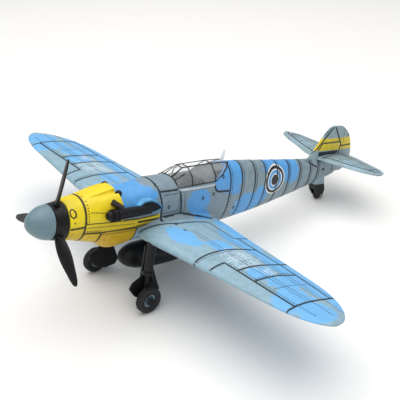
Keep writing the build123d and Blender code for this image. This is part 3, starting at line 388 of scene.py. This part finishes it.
def fuselage_paint(name):
    """Sky patches on grey, with a plain roundel of rings and a disc on each side."""
    paint = Paint(name)
    camouflage = paint.patches(paint.side_view, FUSELAGE_PATCHES, 0.7, swirl=4.0)
    base = paint.mix(camouflage, paint.shade(GREY), paint.shade(SKY, 0.93, 1.06))
    radius = paint.vector("DISTANCE", paint.side_view, (*ROUNDEL, 0))
    on_flank = paint.math("GREATER_THAN", paint.span, ROUNDEL_FROM_MIDDLE)
    for inset, tint in ROUNDEL_RINGS:
        chips = paint.noise(paint.place, scale=1.6, detail=3.0)
        edge = ROUNDEL_EDGE - inset - ROUNDEL_WEAR / 2
        worn = paint.math("MULTIPLY_ADD", chips, ROUNDEL_WEAR, edge)
        depth = paint.math("SUBTRACT", worn, radius)
        inside = paint.step(depth, -ROUNDEL_SOFTNESS, ROUNDEL_SOFTNESS)
        base = paint.mix(paint.math("MULTIPLY", inside, on_flank), base, tint)
    return paint.finish(base)


# ---- nose ---------------------------------------------------------------------------------------
NOSE_LINES = (
    (SEAM, ((21.8, 1.4), (31.7, 1.2), (46.3, 1.1), (57.8, 2.1))),
    (SEAM, ((46.7, -0.6), (58.4, -0.1))),
    (SEAM, ((29.7, -3.4), (38.0, -3.2), (47.2, -2.8), (58.6, -1.5))),
    (SEAM, ((21.8, -3.1), (29.7, -3.4), (29.7, -9.0))),
    (SEAM, ((47.2, -2.8), (46.8, -14.0))),
    (SEAM, ((9.0, -1.0), (21.3, 0.0))),
    (FINE, ring((16.2, 5.4), (1.2, 1.4), 12)),
    (SCREW, ((16.3, 2.0), (17.0, 2.0))), (SCREW, ((32.2, -7.6), (32.9, -7.6))),
    (FINE, ((58.2, 3.0), (58.9, -3.0))),
    (RIVETS, ((23.0, -0.6), (45.0, -1.0))), (RIVETS, ((31.0, -4.4), (46.0, -4.0))),
    (RIVETS, ((22.8, 2.2), (22.8, 14.0))), (RIVETS, ((23.0, -2.2), (29.0, -2.4))),
    (RIVETS, ((24.0, 5.6), (34.0, 5.0))), (RIVETS, ((47.0, -2.0), (58.0, -0.8))),
)


# Heights in mm between which the nose paint turns into its darker colour, as painted shade on the lower
# side.
NOSE_SHADE_FROM = 3.0
NOSE_SHADE_TO = -6.0
NOSE_DIRT = (0.16, 0.10, 0.01)
NOSE_DIRT_STRENGTH = 0.28


def nose_paint(name, base_colour, painted_shade_colour):
    """Glossy paint that turns darker towards the bottom as painted shade, with dirt streaks along the
    cowling.
    """
    paint = Paint(name)
    base = paint.shade(base_colour, 0.93, 1.04)
    # Painted shade: the paint turns darker towards the bottom of the nose.
    painted_shade_below = paint.step(paint.up, NOSE_SHADE_FROM, NOSE_SHADE_TO)
    base = paint.mix(painted_shade_below, base, paint.shade(painted_shade_colour, 0.85, 1.05))
    dirt_view = paint.stretched(paint.aft, 0.3, paint.up, 1.2, paint.across)
    dirt = paint.step(paint.noise(dirt_view, scale=0.9, detail=5.0, roughness=0.7), 0.58, 0.76)
    base = paint.mix(paint.math("MULTIPLY", dirt, NOSE_DIRT_STRENGTH), base, NOSE_DIRT)
    return paint.finish(base, (0.30, 0.45))


# ---- tail ---------------------------------------------------------------------------------------
FIN_LINES = (
    (SEAM, ((180.6, 5.0), (180.6, 20.2), (181.0, 23.7), (178.3, 27.1), (173.0, 34.0))),
    (SEAM, ((155.6, 15.0), (162.4, 21.2), (167.6, 27.4), (172.6, 33.0))),
    (FINE, ((163.6, 20.6), (166.6, 24.6), (179.8, 25.0))),
    (SMEAR, ((164.4, 19.3), (179.4, 19.7))), (SMEAR, ((164.4, 18.6), (178.0, 18.9))),
    (FINE, ((185.6, 31.6), (186.6, 27.4))), (FINE, ((181.2, 22.6), (190.6, 22.9))),
    (RIVETS, ((158.0, 19.4), (170.6, 32.4))), (RIVETS, ((182.4, 31.0), (183.0, 20.0))),
)
BAND_BOTTOM = (20.7, 21.2)
BAND_TOP = (27.6, 27.1)
BAND_YELLOW = (0.76, 0.60, 0.02)
BAND_WAVE = 0.6
TAILPLANE_PATCHES = (((16.0, 172.0), (9.0, 4.0)), ((24.0, 180.0), (8.0, 3.0)))
TAILPLANE_PALE = (0.300, 0.440, 0.520)
TAILPLANE_LINES = (
    (FINE, ((2.0, 167.4), (10.0, 169.0), (22.0, 172.2), (29.6, 174.4), (31.0, 177.0))),
    (FINE, ((2.0, 182.4), (12.0, 181.4), (24.0, 179.4), (30.4, 177.6))),
    (FINE, ((26.6, 173.4), (27.4, 183.0))), (FINE, ((3.0, 166.0), (3.0, 190.0))),
    (RIVETS, ((4.0, 170.6), (28.0, 175.4))), (RIVETS, ((4.0, 174.8), (28.0, 177.0))),
    (RIVETS, ((4.0, 184.4), (26.0, 181.2))), (RIVETS, ((10.0, 169.6), (10.0, 186.0))),
    (RIVETS, ((18.0, 171.6), (18.0, 184.4))), (RIVETS, ((4.0, 180.4), (28.0, 178.2))),
)


def fin_paint(name):
    """Grey with one wavy yellow band across fin and rudder."""
    paint = Paint(name)
    base = paint.shade(TAIL_GREY)
    ripple = paint.noise(paint.place, scale=0.5, detail=3.0)
    wavy = paint.math("MULTIPLY_ADD", ripple, BAND_WAVE, paint.up)
    band = paint.between(wavy, BAND_BOTTOM, BAND_TOP)
    base = paint.mix(band, base, paint.shade(BAND_YELLOW, 0.9, 1.05))
    return paint.finish(base)


def tailplane_paint(name):
    """Pale patches on grey."""
    paint = Paint(name)
    camouflage = paint.patches(paint.plan_view, TAILPLANE_PATCHES)
    return paint.finish(paint.mix(camouflage, paint.shade(TAIL_GREY), paint.shade(TAILPLANE_PALE)))


# ---- other finishes -----------------------------------------------------------------------------
PAINT_EDGE_SOFTNESS = 0.3
FORK_PAINT_EDGE = 2.6
LEG_PAINT_EDGE = -6.3
WORN_STRENGTH = 0.45

# Wheel disc: each edge as (0 at, 1 at) in mm from the axle.
DISC_RIM = ((2.15, 2.25), (2.85, 2.75))
DISC_BOSS = ((1.0, 1.1), (1.5, 1.4))
DISC_WELL = ((1.4, 1.5), (2.25, 2.15))
DISC_BLUE = (0.22, 0.36, 0.42)
SPOKES = 8.0
SPOKE_STRENGTH = 0.7

# Tyre: depth of the tread band inside the tyre's radius, and its rib and cut frequencies.
TREAD_FROM = 0.5
TREAD_FULL = 0.2
TREAD_RIBS = 9.0
TREAD_CUTS = 48.0
# How far the grooves are darkened, and the colour they turn to, as painted shade in the grooves.
TREAD_DARKENING = 0.5
RUBBER = (0.016, 0.016, 0.017)
GROOVE_PAINTED_SHADE = (0.004, 0.004, 0.004)


def plain_paint(name, base_colour, roughness, worn=None, tones=PLAIN_TONES, specular=0.45):
    """Satin or gloss paint with tone changes and, with a worn colour, rubbed spots."""
    paint = Paint(name)
    base = paint.shade(base_colour, *tones, scale=0.6)
    if worn is not None:
        spots = paint.noise(paint.place, scale=1.1, detail=6.0, roughness=0.75)
        rubbed = paint.step(spots, 0.60, 0.72)
        base = paint.mix(paint.math("MULTIPLY", rubbed, WORN_STRENGTH), base, worn)
    return paint.finish(base, roughness, specular=specular)


def leg_paint(name, edge, root_colour):
    """The body's colour at the root, above the edge height, and black below."""
    paint = Paint(name)
    root = paint.step(paint.up, edge - PAINT_EDGE_SOFTNESS, edge + PAINT_EDGE_SOFTNESS)
    black = paint.shade(SATIN_BLACK, *PLAIN_TONES)
    return paint.finish(paint.mix(root, black, paint.shade(root_colour)), specular=SATIN_SPECULAR)


def wheel_paint(name, centre):
    """Wheel disc: dark hub, pale blue ring with spoke slots, dark well."""
    paint = Paint(name)
    radius, turn = paint.round_axle(centre)
    spokes = paint.crests(turn, SPOKES, 0.55, 0.8)
    rim = paint.between(radius, *DISC_RIM)
    boss = paint.between(radius, *DISC_BOSS)
    well = paint.between(radius, *DISC_WELL)
    spoked = paint.math("MULTIPLY", paint.math("MULTIPLY", spokes, well), SPOKE_STRENGTH)
    lit = paint.math("MAXIMUM", rim, paint.math("MAXIMUM", boss, spoked))
    base = paint.mix(lit, paint.shade(BLACK), paint.shade(DISC_BLUE))
    return paint.finish(base, (0.35, 0.5), grooves=paint.math("SUBTRACT", well, spoked))


def tyre_paint(name, centre, tyre_radius):
    """Rubber with tread grooves round the rolling surface, darkened in the grooves as painted shade."""
    paint = Paint(name)
    radius, turn = paint.round_axle(centre)
    rolling = paint.step(radius, tyre_radius - TREAD_FROM, tyre_radius - TREAD_FULL)
    ribs = paint.crests(paint.across, TREAD_RIBS, 0.2, 0.6)
    cuts = paint.crests(turn, TREAD_CUTS, 0.5, 0.8)
    grooves = paint.math("MULTIPLY", rolling, paint.math("MAXIMUM", ribs, cuts))
    base = paint.shade(RUBBER, 0.7, 1.3, scale=0.9)
    # Painted shade in the grooves.
    base = paint.mix(paint.math("MULTIPLY", grooves, TREAD_DARKENING), base, GROOVE_PAINTED_SHADE)
    return paint.finish(base, (0.62, 0.82), grain=0.2, grooves=grooves)


SCUFF_HAZE = 0.25
CLEAR_TINTS = ((0.86, 0.92, 0.94), (0.93, 0.96, 0.97))
TURNING = 6.0
METAL_DARKENING = 0.6
METALLIC = 0.9


def clear_plastic(name, clearness):
    """Clear moulding with faint scuffs; the skin is thin, so it lets light straight through."""
    paint = Paint(name)
    scuffs = paint.noise(paint.place, scale=2.2, detail=6.0, roughness=0.7)
    paint.feed(paint.shader.inputs["Roughness"], paint.step(scuffs, 0.45, 0.75, 0.03, 0.14))
    tone = paint.mix(paint.noise(paint.place, scale=0.3), *CLEAR_TINTS)
    paint.feed(paint.shader.inputs["Base Color"], tone)
    haze = paint.step(scuffs, 0.3, 0.8, 1 - clearness, 1 + SCUFF_HAZE - clearness)
    paint.feed(paint.shader.inputs["Alpha"], haze)
    return paint.material


def bare_metal(name, base_colour):
    """Turned steel with fine lines round the pin."""
    paint = Paint(name)
    line_view = paint.join(
        paint.across, paint.math("MULTIPLY", paint.aft, TURNING), paint.math("MULTIPLY", paint.up, TURNING)
    )
    lines = paint.noise(line_view, scale=1.6, detail=3.0)
    base = paint.mix(lines, base_colour, tuple(METAL_DARKENING * part for part in base_colour))
    paint.shader.inputs["Metallic"].default_value = METALLIC
    return paint.finish(base, (0.28, 0.45), grain=0.2)


# ---- finishes on the CAD pieces -----------------------------------------------------------------
def wheel_centre(node):
    """Aft position and height of a wheel's middle in the aeroplane's millimetres, and its radius."""
    low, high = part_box(node)
    middle = to_row.inverted() @ ((Vector(low) + Vector(high)) / 2)
    return (middle.y, middle.z), (high[2] - low[2]) / 2 / MM


main_centre, main_radius = wheel_centre("tyre_left")
tail_centre, tail_radius = wheel_centre("tail_wheel")
satin_black = plain_paint(
    "satin_black", SATIN_BLACK, (0.36, 0.52), (0.014, 0.014, 0.016), specular=SATIN_SPECULAR
)
yellow = nose_paint("nose_yellow", YELLOW, YELLOW_PAINTED_SHADE)
wing_upper_paint = wing_paint("wing_camouflage", True)
finishes = {
    "nose_ring": yellow, "cowl_upper": yellow, "cowl_lower": yellow,
    # The chin gets darker copies of the nose yellow as painted shade, since it lies under the nose.
    "oil_cooler": nose_paint("chin_mustard", (0.74, 0.50, 0.012), (0.60, 0.38, 0.010)),
    "fuselage_left": fuselage_paint("fuselage_camouflage"),
    "wing_lower": wing_paint("wing_underside", False),
    "wing_upper_left": wing_upper_paint, "wing_upper_right": wing_upper_paint,
    "tail_fin": fin_paint("fin_paint"), "tailplane_left": tailplane_paint("tailplane_paint"),
    "cockpit_tub": plain_paint("cockpit_dark", (0.030, 0.030, 0.032), (0.6, 0.8), (0.08, 0.08, 0.08)),
    "rear_deck": plain_paint("cockpit_grey", (0.17, 0.19, 0.20), (0.5, 0.7), (0.30, 0.31, 0.32)),
    "spinner_cone": plain_paint(
        "spinner_grey", (0.150, 0.245, 0.285), (0.34, 0.42), (0.158, 0.255, 0.295), (0.95, 1.05)
    ),
    "scoop_rim": plain_paint("scoop_blue", (0.11, 0.38, 0.66), (0.36, 0.5), (0.22, 0.50, 0.74)),
    "exhaust_left": plain_paint("exhaust_dark", (0.030, 0.022, 0.020), (0.5, 0.7), (0.10, 0.05, 0.03)),
    "wheel_rim_left": wheel_paint("wheel_disc", main_centre),
    "tyre_left": tyre_paint("tyre_rubber", main_centre, main_radius),
    "tail_fork": leg_paint("fork_paint", FORK_PAINT_EDGE, TAIL_GREY),
    "gear_leg_left": leg_paint("leg_paint", LEG_PAINT_EDGE, WING_GREY),
    "tail_wheel": tyre_paint("tail_tyre_rubber", tail_centre, tail_radius),
    "propeller_shaft": bare_metal("pin_steel", (0.55, 0.55, 0.56)),
    "windscreen": clear_plastic("clear_plastic", 0.965), "radio_mast": clear_plastic("mast_plastic", 0.45),
}
# Pieces finished like another one; every piece in neither table is satin black.
SAME = {
    "fuselage_right": "fuselage_left", "wing_fairing_left": "fuselage_left",
    "wing_fairing_right": "fuselage_left", "rudder": "tail_fin", "tailplane_right": "tailplane_left",
    "canopy_hood": "windscreen", "canopy_rear": "windscreen", "pilot_seat": "cockpit_tub",
    "instrument_panel": "cockpit_tub", "control_stick": "cockpit_tub", "exhaust_right": "exhaust_left",
    "wheel_rim_right": "wheel_rim_left", "tyre_right": "tyre_left", "shaft_retainer": "propeller_shaft",
    "tail_axle": "propeller_shaft", "gear_leg_right": "gear_leg_left",
}
for node, piece in frame["nodes"].items():
    finish = finishes.get(SAME.get(node, node), satin_black)
    piece.data.materials.clear()
    piece.data.materials.append(finish)

# ---- painted canopy frames ----------------------------------------------------------------------
FRAME_WIDTH = 0.72
FRAME_RISE = 0.20
SILL_FRAME_WIDTH = 1.3 * FRAME_WIDTH
QUARTER_FRAME_WIDTH = 0.8 * FRAME_WIDTH
STRIP_SIDES = 8
CANOPY_MIDDLE = 12.0
LEAST_LIFT = 0.2
SCREEN_FOOT = 67.2
SCREEN_TOP = 72.4
HOOPS = (75.6, 89.2)
SILL_FRONT = (67.2, 11.5)
SILL_REAR = (89.2, 12.7)
SILL_STATIONS = (67.2, 72.4, 76.3, 82.0, 89.2)
REAR_TOP = (99.4, 19.6)
REAR_STEPS = 7
# Half sections of the canopy: aft position, then points (across, up) from the roof edge down.
STATIONS = (
    (67.2, ((2.3, 14.9), (4.6, 14.3), (6.3, 13.2), (7.3, 11.0))),
    (72.4, ((2.0, 18.7), (4.5, 16.8), (6.3, 14.9), (7.4, 11.0))),
    (76.3, ((2.0, 18.9), (4.7, 16.9), (6.5, 15.0), (7.5, 11.0))),
    (89.2, ((2.0, 19.6), (4.8, 17.2), (6.6, 15.2), (7.6, 11.0))),
    (99.4, ((2.0, 19.6), (4.6, 17.9), (6.0, 16.0), (7.2, 11.0))),
)


def canopy_section(aft):
    """Half section of the canopy at an aft position, from the roof edge down."""
    for (front, near), (rear, far) in zip(STATIONS, STATIONS[1:]):
        if aft <= rear:
            share = max(0.0, (aft - front) / (rear - front))
            return [
                (a[0] + share * (b[0] - a[0]), aft, a[1] + share * (b[1] - a[1]))
                for a, b in zip(near, far)
            ]
    return canopy_section(STATIONS[-1][0])


def strip(mesh, points, width, rise):
    """Bar of flat oval section laid along points on the canopy, in row metres."""
    rows = []
    for number, point in enumerate(points):
        before = Vector(points[max(number - 1, 0)])
        after = Vector(points[min(number + 1, len(points) - 1)])
        heading = (after - before).normalized()
        outward = Vector((point[0], 0, max(point[2] - CANOPY_MIDDLE, LEAST_LIFT))).normalized()
        outward = (outward - heading * outward.dot(heading)).normalized()
        aside = heading.cross(outward)
        row = []
        for step in range(STRIP_SIDES):
            angle = 2 * math.pi * step / STRIP_SIDES
            shift = aside * math.cos(angle) * width / 2 + outward * math.sin(angle) * rise
            row.append(mesh.verts.new(in_row(Vector(point) + shift)))
        rows.append(row)
    for one, other in zip(rows, rows[1:]):
        for step in range(STRIP_SIDES):
            mesh.faces.new((one[step], other[step], other[step - 1], one[step - 1]))
    mesh.faces.new(rows[0])
    mesh.faces.new(rows[-1][::-1])


def make_piece(name, mesh, material, body):
    """Turns a bmesh into a shown piece that rides on a CAD body."""
    bmesh.ops.recalc_face_normals(mesh, faces=mesh.faces)
    data = bpy.data.meshes.new(name)
    mesh.to_mesh(data)
    mesh.free()
    data.materials.append(material)
    piece = bpy.data.objects.new(name, data)
    bpy.context.scene.collection.objects.link(piece)
    for polygon in data.polygons:
        polygon.use_smooth = True
    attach(piece, body)
    return piece


def as_drawn(points):
    """Points on the port side, as they are given."""
    return points


def mirrored(points):
    """The same points on the starboard side."""
    return [(-x, y, z) for x, y, z in points]


def sill_height(aft):
    """Height of the canopy's lower frame at an aft position."""
    share = (aft - SILL_FRONT[0]) / (SILL_REAR[0] - SILL_FRONT[0])
    return SILL_FRONT[1] + share * (SILL_REAR[1] - SILL_FRONT[1])


def at_height(section, height):
    """Point of a canopy half section at a height."""
    for upper, lower in zip(section, section[1:]):
        if lower[2] <= height <= upper[2]:
            share = (upper[2] - height) / (upper[2] - lower[2])
            return tuple(u + share * (v - u) for u, v in zip(upper, lower))
    return section[-1]


frames = bmesh.new()
for aft in HOOPS:
    half = [point for point in canopy_section(aft) if point[2] > sill_height(aft)]
    half.append(at_height(canopy_section(aft), sill_height(aft)))
    strip(frames, [*reversed(half), *mirrored(half)], FRAME_WIDTH, FRAME_RISE)
screen_foot = canopy_section(SCREEN_FOOT)
screen_top = canopy_section(SCREEN_TOP)
strip(frames, [screen_top[0], *mirrored(screen_top[:1])], FRAME_WIDTH, FRAME_RISE)
roof = [canopy_section(aft)[0] for aft, _ in STATIONS]
sill = [at_height(canopy_section(aft), sill_height(aft)) for aft in SILL_STATIONS]
rear_edge = []
for step in range(REAR_STEPS + 1):
    share = step / REAR_STEPS
    aft = SILL_REAR[0] + share * (REAR_TOP[0] - SILL_REAR[0])
    height = SILL_REAR[1] + share * (REAR_TOP[1] - SILL_REAR[1])
    rear_edge.append(at_height(canopy_section(aft), height))
quarter = [screen_foot[1], screen_top[1]]
for flank in (as_drawn, mirrored):
    strip(frames, flank(roof), FRAME_WIDTH, FRAME_RISE)
    strip(frames, flank(sill), SILL_FRAME_WIDTH, FRAME_RISE)
    strip(frames, flank(rear_edge), FRAME_WIDTH, FRAME_RISE)
    strip(frames, flank(quarter), QUARTER_FRAME_WIDTH, FRAME_RISE)
strip(frames, [*reversed(screen_foot[:3]), *mirrored(screen_foot[:3])], FRAME_WIDTH, FRAME_RISE)
frame_black = plain_paint("frame_black", (0.020, 0.026, 0.030), (0.35, 0.5), (0.06, 0.07, 0.08))
canopy_frames = make_piece("canopy_frames", frames, frame_black, AIRFRAME)

# ---- inked panel lines and rivets ---------------------------------------------------------------
INK_RISE = 0.07
INK_SINK = 0.02
RIVET_RISE = 1.6
RIVET_SIDES = 6
SAMPLE = 0.45
LARGEST_GAP = 3.0
FAR = 70.0
LINE_TURN = 2
RIVET_TURN = 6


class Drawing:
    """Thin raised ink lines and rivet heads that follow the skin of CAD nodes."""

    def __init__(self, *nodes):
        to_plane = to_row.inverted()
        corners = []
        faces = []
        for node in nodes:
            mesh = frame["nodes"][node].data
            first = len(corners)
            corners += [to_plane @ vertex.co for vertex in mesh.vertices]
            faces += [tuple(first + n for n in polygon.vertices) for polygon in mesh.polygons]
        self.skin = BVHTree.FromPolygons(corners, faces)
        self.mesh = bmesh.new()

    def on_skin(self, spot, rise):
        """A new vertex at a height over the skin point nearest to a spot."""
        near, normal, *_ = self.skin.find_nearest(spot)
        return self.mesh.verts.new(in_row(near + normal * rise))

    def ribbon(self, hits, width, swing):
        """Raised line over a run of points on the skin, its width pulsing along the way."""
        rows = []
        for number, (spot, normal) in enumerate(hits):
            heading = hits[min(number + 1, len(hits) - 1)][0] - hits[max(number - 1, 0)][0]
            aside = normal.cross(heading).normalized() * width / 2 * (1 + swing * (-1) ** number)
            rows.append((
                self.on_skin(spot + aside, -INK_SINK), self.on_skin(spot, INK_RISE),
                self.on_skin(spot - aside, -INK_SINK),
            ))
        for one, other in zip(rows, rows[1:]):
            for n in range(len(one) - 1):
                self.mesh.faces.new((one[n], one[n + 1], other[n + 1], other[n]))

    def rivet(self, spot, normal, radius):
        """Low pointed head."""
        aside = normal.orthogonal().normalized() * radius
        crown = self.mesh.verts.new(in_row(spot + normal * INK_RISE * RIVET_RISE))
        rim = []
        for n in range(RIVET_SIDES):
            turned = Matrix.Rotation(2 * math.pi / RIVET_SIDES * n, 3, normal) @ aside
            rim.append(self.mesh.verts.new(in_row(spot + turned - normal * INK_SINK)))
        for n in range(RIVET_SIDES):
            self.mesh.faces.new((crown, rim[n - 1], rim[n]))

    def lay(self, hits, style):
        """Splits a run where it leaves the skin, then draws it as a line or as rivets."""
        width, swing, pitch = style
        reach = LARGEST_GAP * max(SAMPLE, pitch)
        run = []
        for hit in [*hits, None]:
            broken = hit is None or (run and (hit[0] - run[-1][0]).length > reach)
            if broken:
                if pitch:
                    for spot, normal in run:
                        self.rivet(spot, normal, width / 2)
                elif len(run) > 1:
                    self.ribbon(run, width, swing)
                run = []
            if hit is not None:
                run.append(hit)

    def throw(self, rays, style):
        """Draws where rays of (start, direction) meet the skin."""
        hits = []
        for start, direction in rays:
            spot, normal, *_ = self.skin.ray_cast(Vector(start), Vector(direction))
            if spot is not None:
                hits.append((spot, normal))
        self.lay(hits, style)

    def draw(self, lines, to_ray):
        """Lines given on a flat view, thrown onto the skin by a function from view point to ray."""
        for style, points in lines:
            step = style[2] or SAMPLE
            flat = []
            for start, end in zip(points, points[1:]):
                length = math.dist(start, end)
                count = max(1, round(length / step))
                flat += [
                    tuple(a + (b - a) * n / count for a, b in zip(start, end))
                    for n in range(count)
                ]
            flat.append(points[-1])
            self.throw([to_ray(*point) for point in flat], style)

    def hoop(self, aft, centre_height, style, low=-180, high=180):
        """Line round a body at an aft position, between two angles in degrees from straight up."""
        step = RIVET_TURN if style[2] else LINE_TURN
        rays = []
        for angle in range(low, high + 1, step):
            across = math.sin(math.radians(angle))
            up = math.cos(math.radians(angle))
            rays.append(((FAR * across, aft, centre_height + FAR * up), (-across, 0, -up)))
        self.throw(rays, style)

    def done(self, name, material):
        """Turns the drawing into a piece on the airframe."""
        piece = make_piece(name, self.mesh, material, AIRFRAME)


def from_port(aft, up):
    """Ray from the port side through a point of the side view."""
    return (FAR, aft, up), (-1, 0, 0)


def from_starboard(aft, up):
    """Ray from the starboard side through a point of the side view."""
    return (-FAR, aft, up), (1, 0, 0)


def from_above(side):
    """Rays from above onto one side, 1 for port and -1 for starboard."""
    return lambda across, aft: ((side * across, aft, FAR), (0, 0, -1))


def from_below(side):
    """Rays from below onto one side, 1 for port and -1 for starboard."""
    return lambda across, aft: ((side * across, aft, -FAR), (0, 0, 1))


ink = plain_paint("ink", (0.016, 0.028, 0.038), (0.5, 0.7))
brown_ink = plain_paint("brown_ink", (0.045, 0.034, 0.012), (0.5, 0.7))
pale_ink = plain_paint("pale_ink", (0.62, 0.66, 0.66), (0.5, 0.7))
PORT_AND_STARBOARD = (1, -1)
BOTH_FLANKS = (from_port, from_starboard)
MARK_RADII = (0.50, 0.65)
MARK_SIDES = 10
# Middle of the fuselage: its height at one station, and how it rises further aft.
MIDDLE_STATION = 98
MIDDLE_HEIGHT = 9.5
MIDDLE_SLOPE = 0.03
RIVET_ROW_AFT = 1.4
BULKHEAD = (56.4, 10.0)
BULKHEAD_HALF_ANGLE = 64
COWL_FRONT = (21.5, 0.0)

top_lines = Drawing("wing_upper_left", "wing_upper_right")
under_lines = Drawing("wing_lower")
for side in PORT_AND_STARBOARD:
    top_lines.draw((*WING_SEAMS, *WING_RIVETS, *WING_DOTS), from_above(side))
    under_lines.draw(WING_SEAMS, from_below(side))
top_lines.done("panel_lines_wing_top", ink)
under_lines.done("panel_lines_wing_under", ink)

body_lines = Drawing("fuselage_left", "fuselage_right", "wing_fairing_left", "wing_fairing_right")
marks = [(MARK, ring(mark, MARK_RADII, MARK_SIDES)) for mark in FUSELAGE_MARKS]
for view in BOTH_FLANKS:
    body_lines.draw((*FUSELAGE_LINES, *marks), view)
for station in FRAME_STATIONS:
    middle = MIDDLE_HEIGHT + MIDDLE_SLOPE * (station - MIDDLE_STATION)
    body_lines.hoop(station, middle, SEAM)
    body_lines.hoop(station + RIVET_ROW_AFT, middle, RIVETS)
body_lines.hoop(*BULKHEAD, SEAM, -BULKHEAD_HALF_ANGLE, BULKHEAD_HALF_ANGLE)
body_lines.done("panel_lines_fuselage", ink)

trim_lines = Drawing("fuselage_left", "fuselage_right")
for view in BOTH_FLANKS:
    trim_lines.draw(SILL_TRIM, view)
trim_lines.done("sill_trim", pale_ink)

nose_lines = Drawing("nose_ring", "cowl_upper", "cowl_lower", "oil_cooler")
for view in BOTH_FLANKS:
    nose_lines.draw(NOSE_LINES, view)
nose_lines.hoop(*COWL_FRONT, SEAM)
nose_lines.done("panel_lines_nose", brown_ink)

fin_lines = Drawing("tail_fin", "rudder")
for view in BOTH_FLANKS:
    fin_lines.draw(FIN_LINES, view)
fin_lines.done("panel_lines_fin", ink)
tail_lines = Drawing("tailplane_left", "tailplane_right")
for side in PORT_AND_STARBOARD:
    for view in (from_above(side), from_below(side)):
        tail_lines.draw(TAILPLANE_LINES, view)
tail_lines.done("panel_lines_tailplane", ink)

# ---- stage --------------------------------------------------------------------------------------
STAGE_SIZE = 4.0
STAGE_CELLS = 8
STAGE_DROP = 0.0002
STAGE_WHITE = (0.95, 0.94, 0.92, 1)
WORLD_STRENGTH = 0.40
floor_mesh = bmesh.new()
bmesh.ops.create_grid(floor_mesh, x_segments=STAGE_CELLS, y_segments=STAGE_CELLS, size=STAGE_SIZE)
floor_data = bpy.data.meshes.new("floor")
floor_mesh.to_mesh(floor_data)
floor_mesh.free()
floor = bpy.data.objects.new("floor", floor_data)
floor.location.z = -STAGE_DROP
bpy.context.scene.collection.objects.link(floor)
floor_material = bpy.data.materials.new("stage_white")
floor_material.use_nodes = True
floor_shader = floor_material.node_tree.nodes["Principled BSDF"]
floor_shader.inputs["Base Color"].default_value = STAGE_WHITE
floor_shader.inputs["Roughness"].default_value = 0.7
floor_shader.inputs["Specular IOR Level"].default_value = 0.1
floor_data.materials.append(floor_material)

world = bpy.data.worlds.new("studio")
world.use_nodes = True
sky = world.node_tree.nodes["Background"]
sky.inputs["Color"].default_value = (1.0, 1.0, 1.0, 1)
sky.inputs["Strength"].default_value = WORLD_STRENGTH
bpy.context.scene.world = world


def softbox(name, place, aim, size, power):
    """Square area light at a place in metres, aimed at a point; power in watts."""
    light = bpy.data.lights.new(name, "AREA")
    light.size = size
    light.energy = power
    lamp = bpy.data.objects.new(name, light)
    lamp.location = place
    lamp.rotation_euler = (Vector(aim) - Vector(place)).to_track_quat("-Z", "Y").to_euler()
    bpy.context.scene.collection.objects.link(lamp)


softbox("key", place=(-0.04, -0.02, 0.62), aim=(0.0, 0.0, 0.0), size=0.90, power=5.0)
softbox("fill", place=(0.70, -0.55, 0.45), aim=(0.0, 0.0, 0.03), size=0.60, power=0.7)

# ---- camera -------------------------------------------------------------------------------------
CAMERA_AIM = Vector((0.0023, -0.0108, 0.0304))
CAMERA_AZIMUTH = math.radians(49.67)
CAMERA_ELEVATION = math.radians(29.82)
CAMERA_DISTANCE = 0.3638
CAMERA_LENS = 73.3
CAMERA_SENSOR = 36.0
CAMERA_NEAR = 0.01
CAMERA_SHIFT = 0.0014
back = Vector((
    math.sin(CAMERA_AZIMUTH) * math.cos(CAMERA_ELEVATION),
    -math.cos(CAMERA_AZIMUTH) * math.cos(CAMERA_ELEVATION),
    math.sin(CAMERA_ELEVATION),
))
camera_data = bpy.data.cameras.new("camera")
camera_data.lens = CAMERA_LENS
camera_data.sensor_width = CAMERA_SENSOR
camera_data.clip_start = CAMERA_NEAR
camera_data.shift_x = CAMERA_SHIFT
camera = bpy.data.objects.new("camera", camera_data)
camera.location = CAMERA_AIM + back * CAMERA_DISTANCE
camera.rotation_euler = (-back).to_track_quat("-Z", "Y").to_euler()
bpy.context.scene.collection.objects.link(camera)
bpy.context.scene.camera = camera
bpy.context.scene.view_settings.view_transform = "Standard"
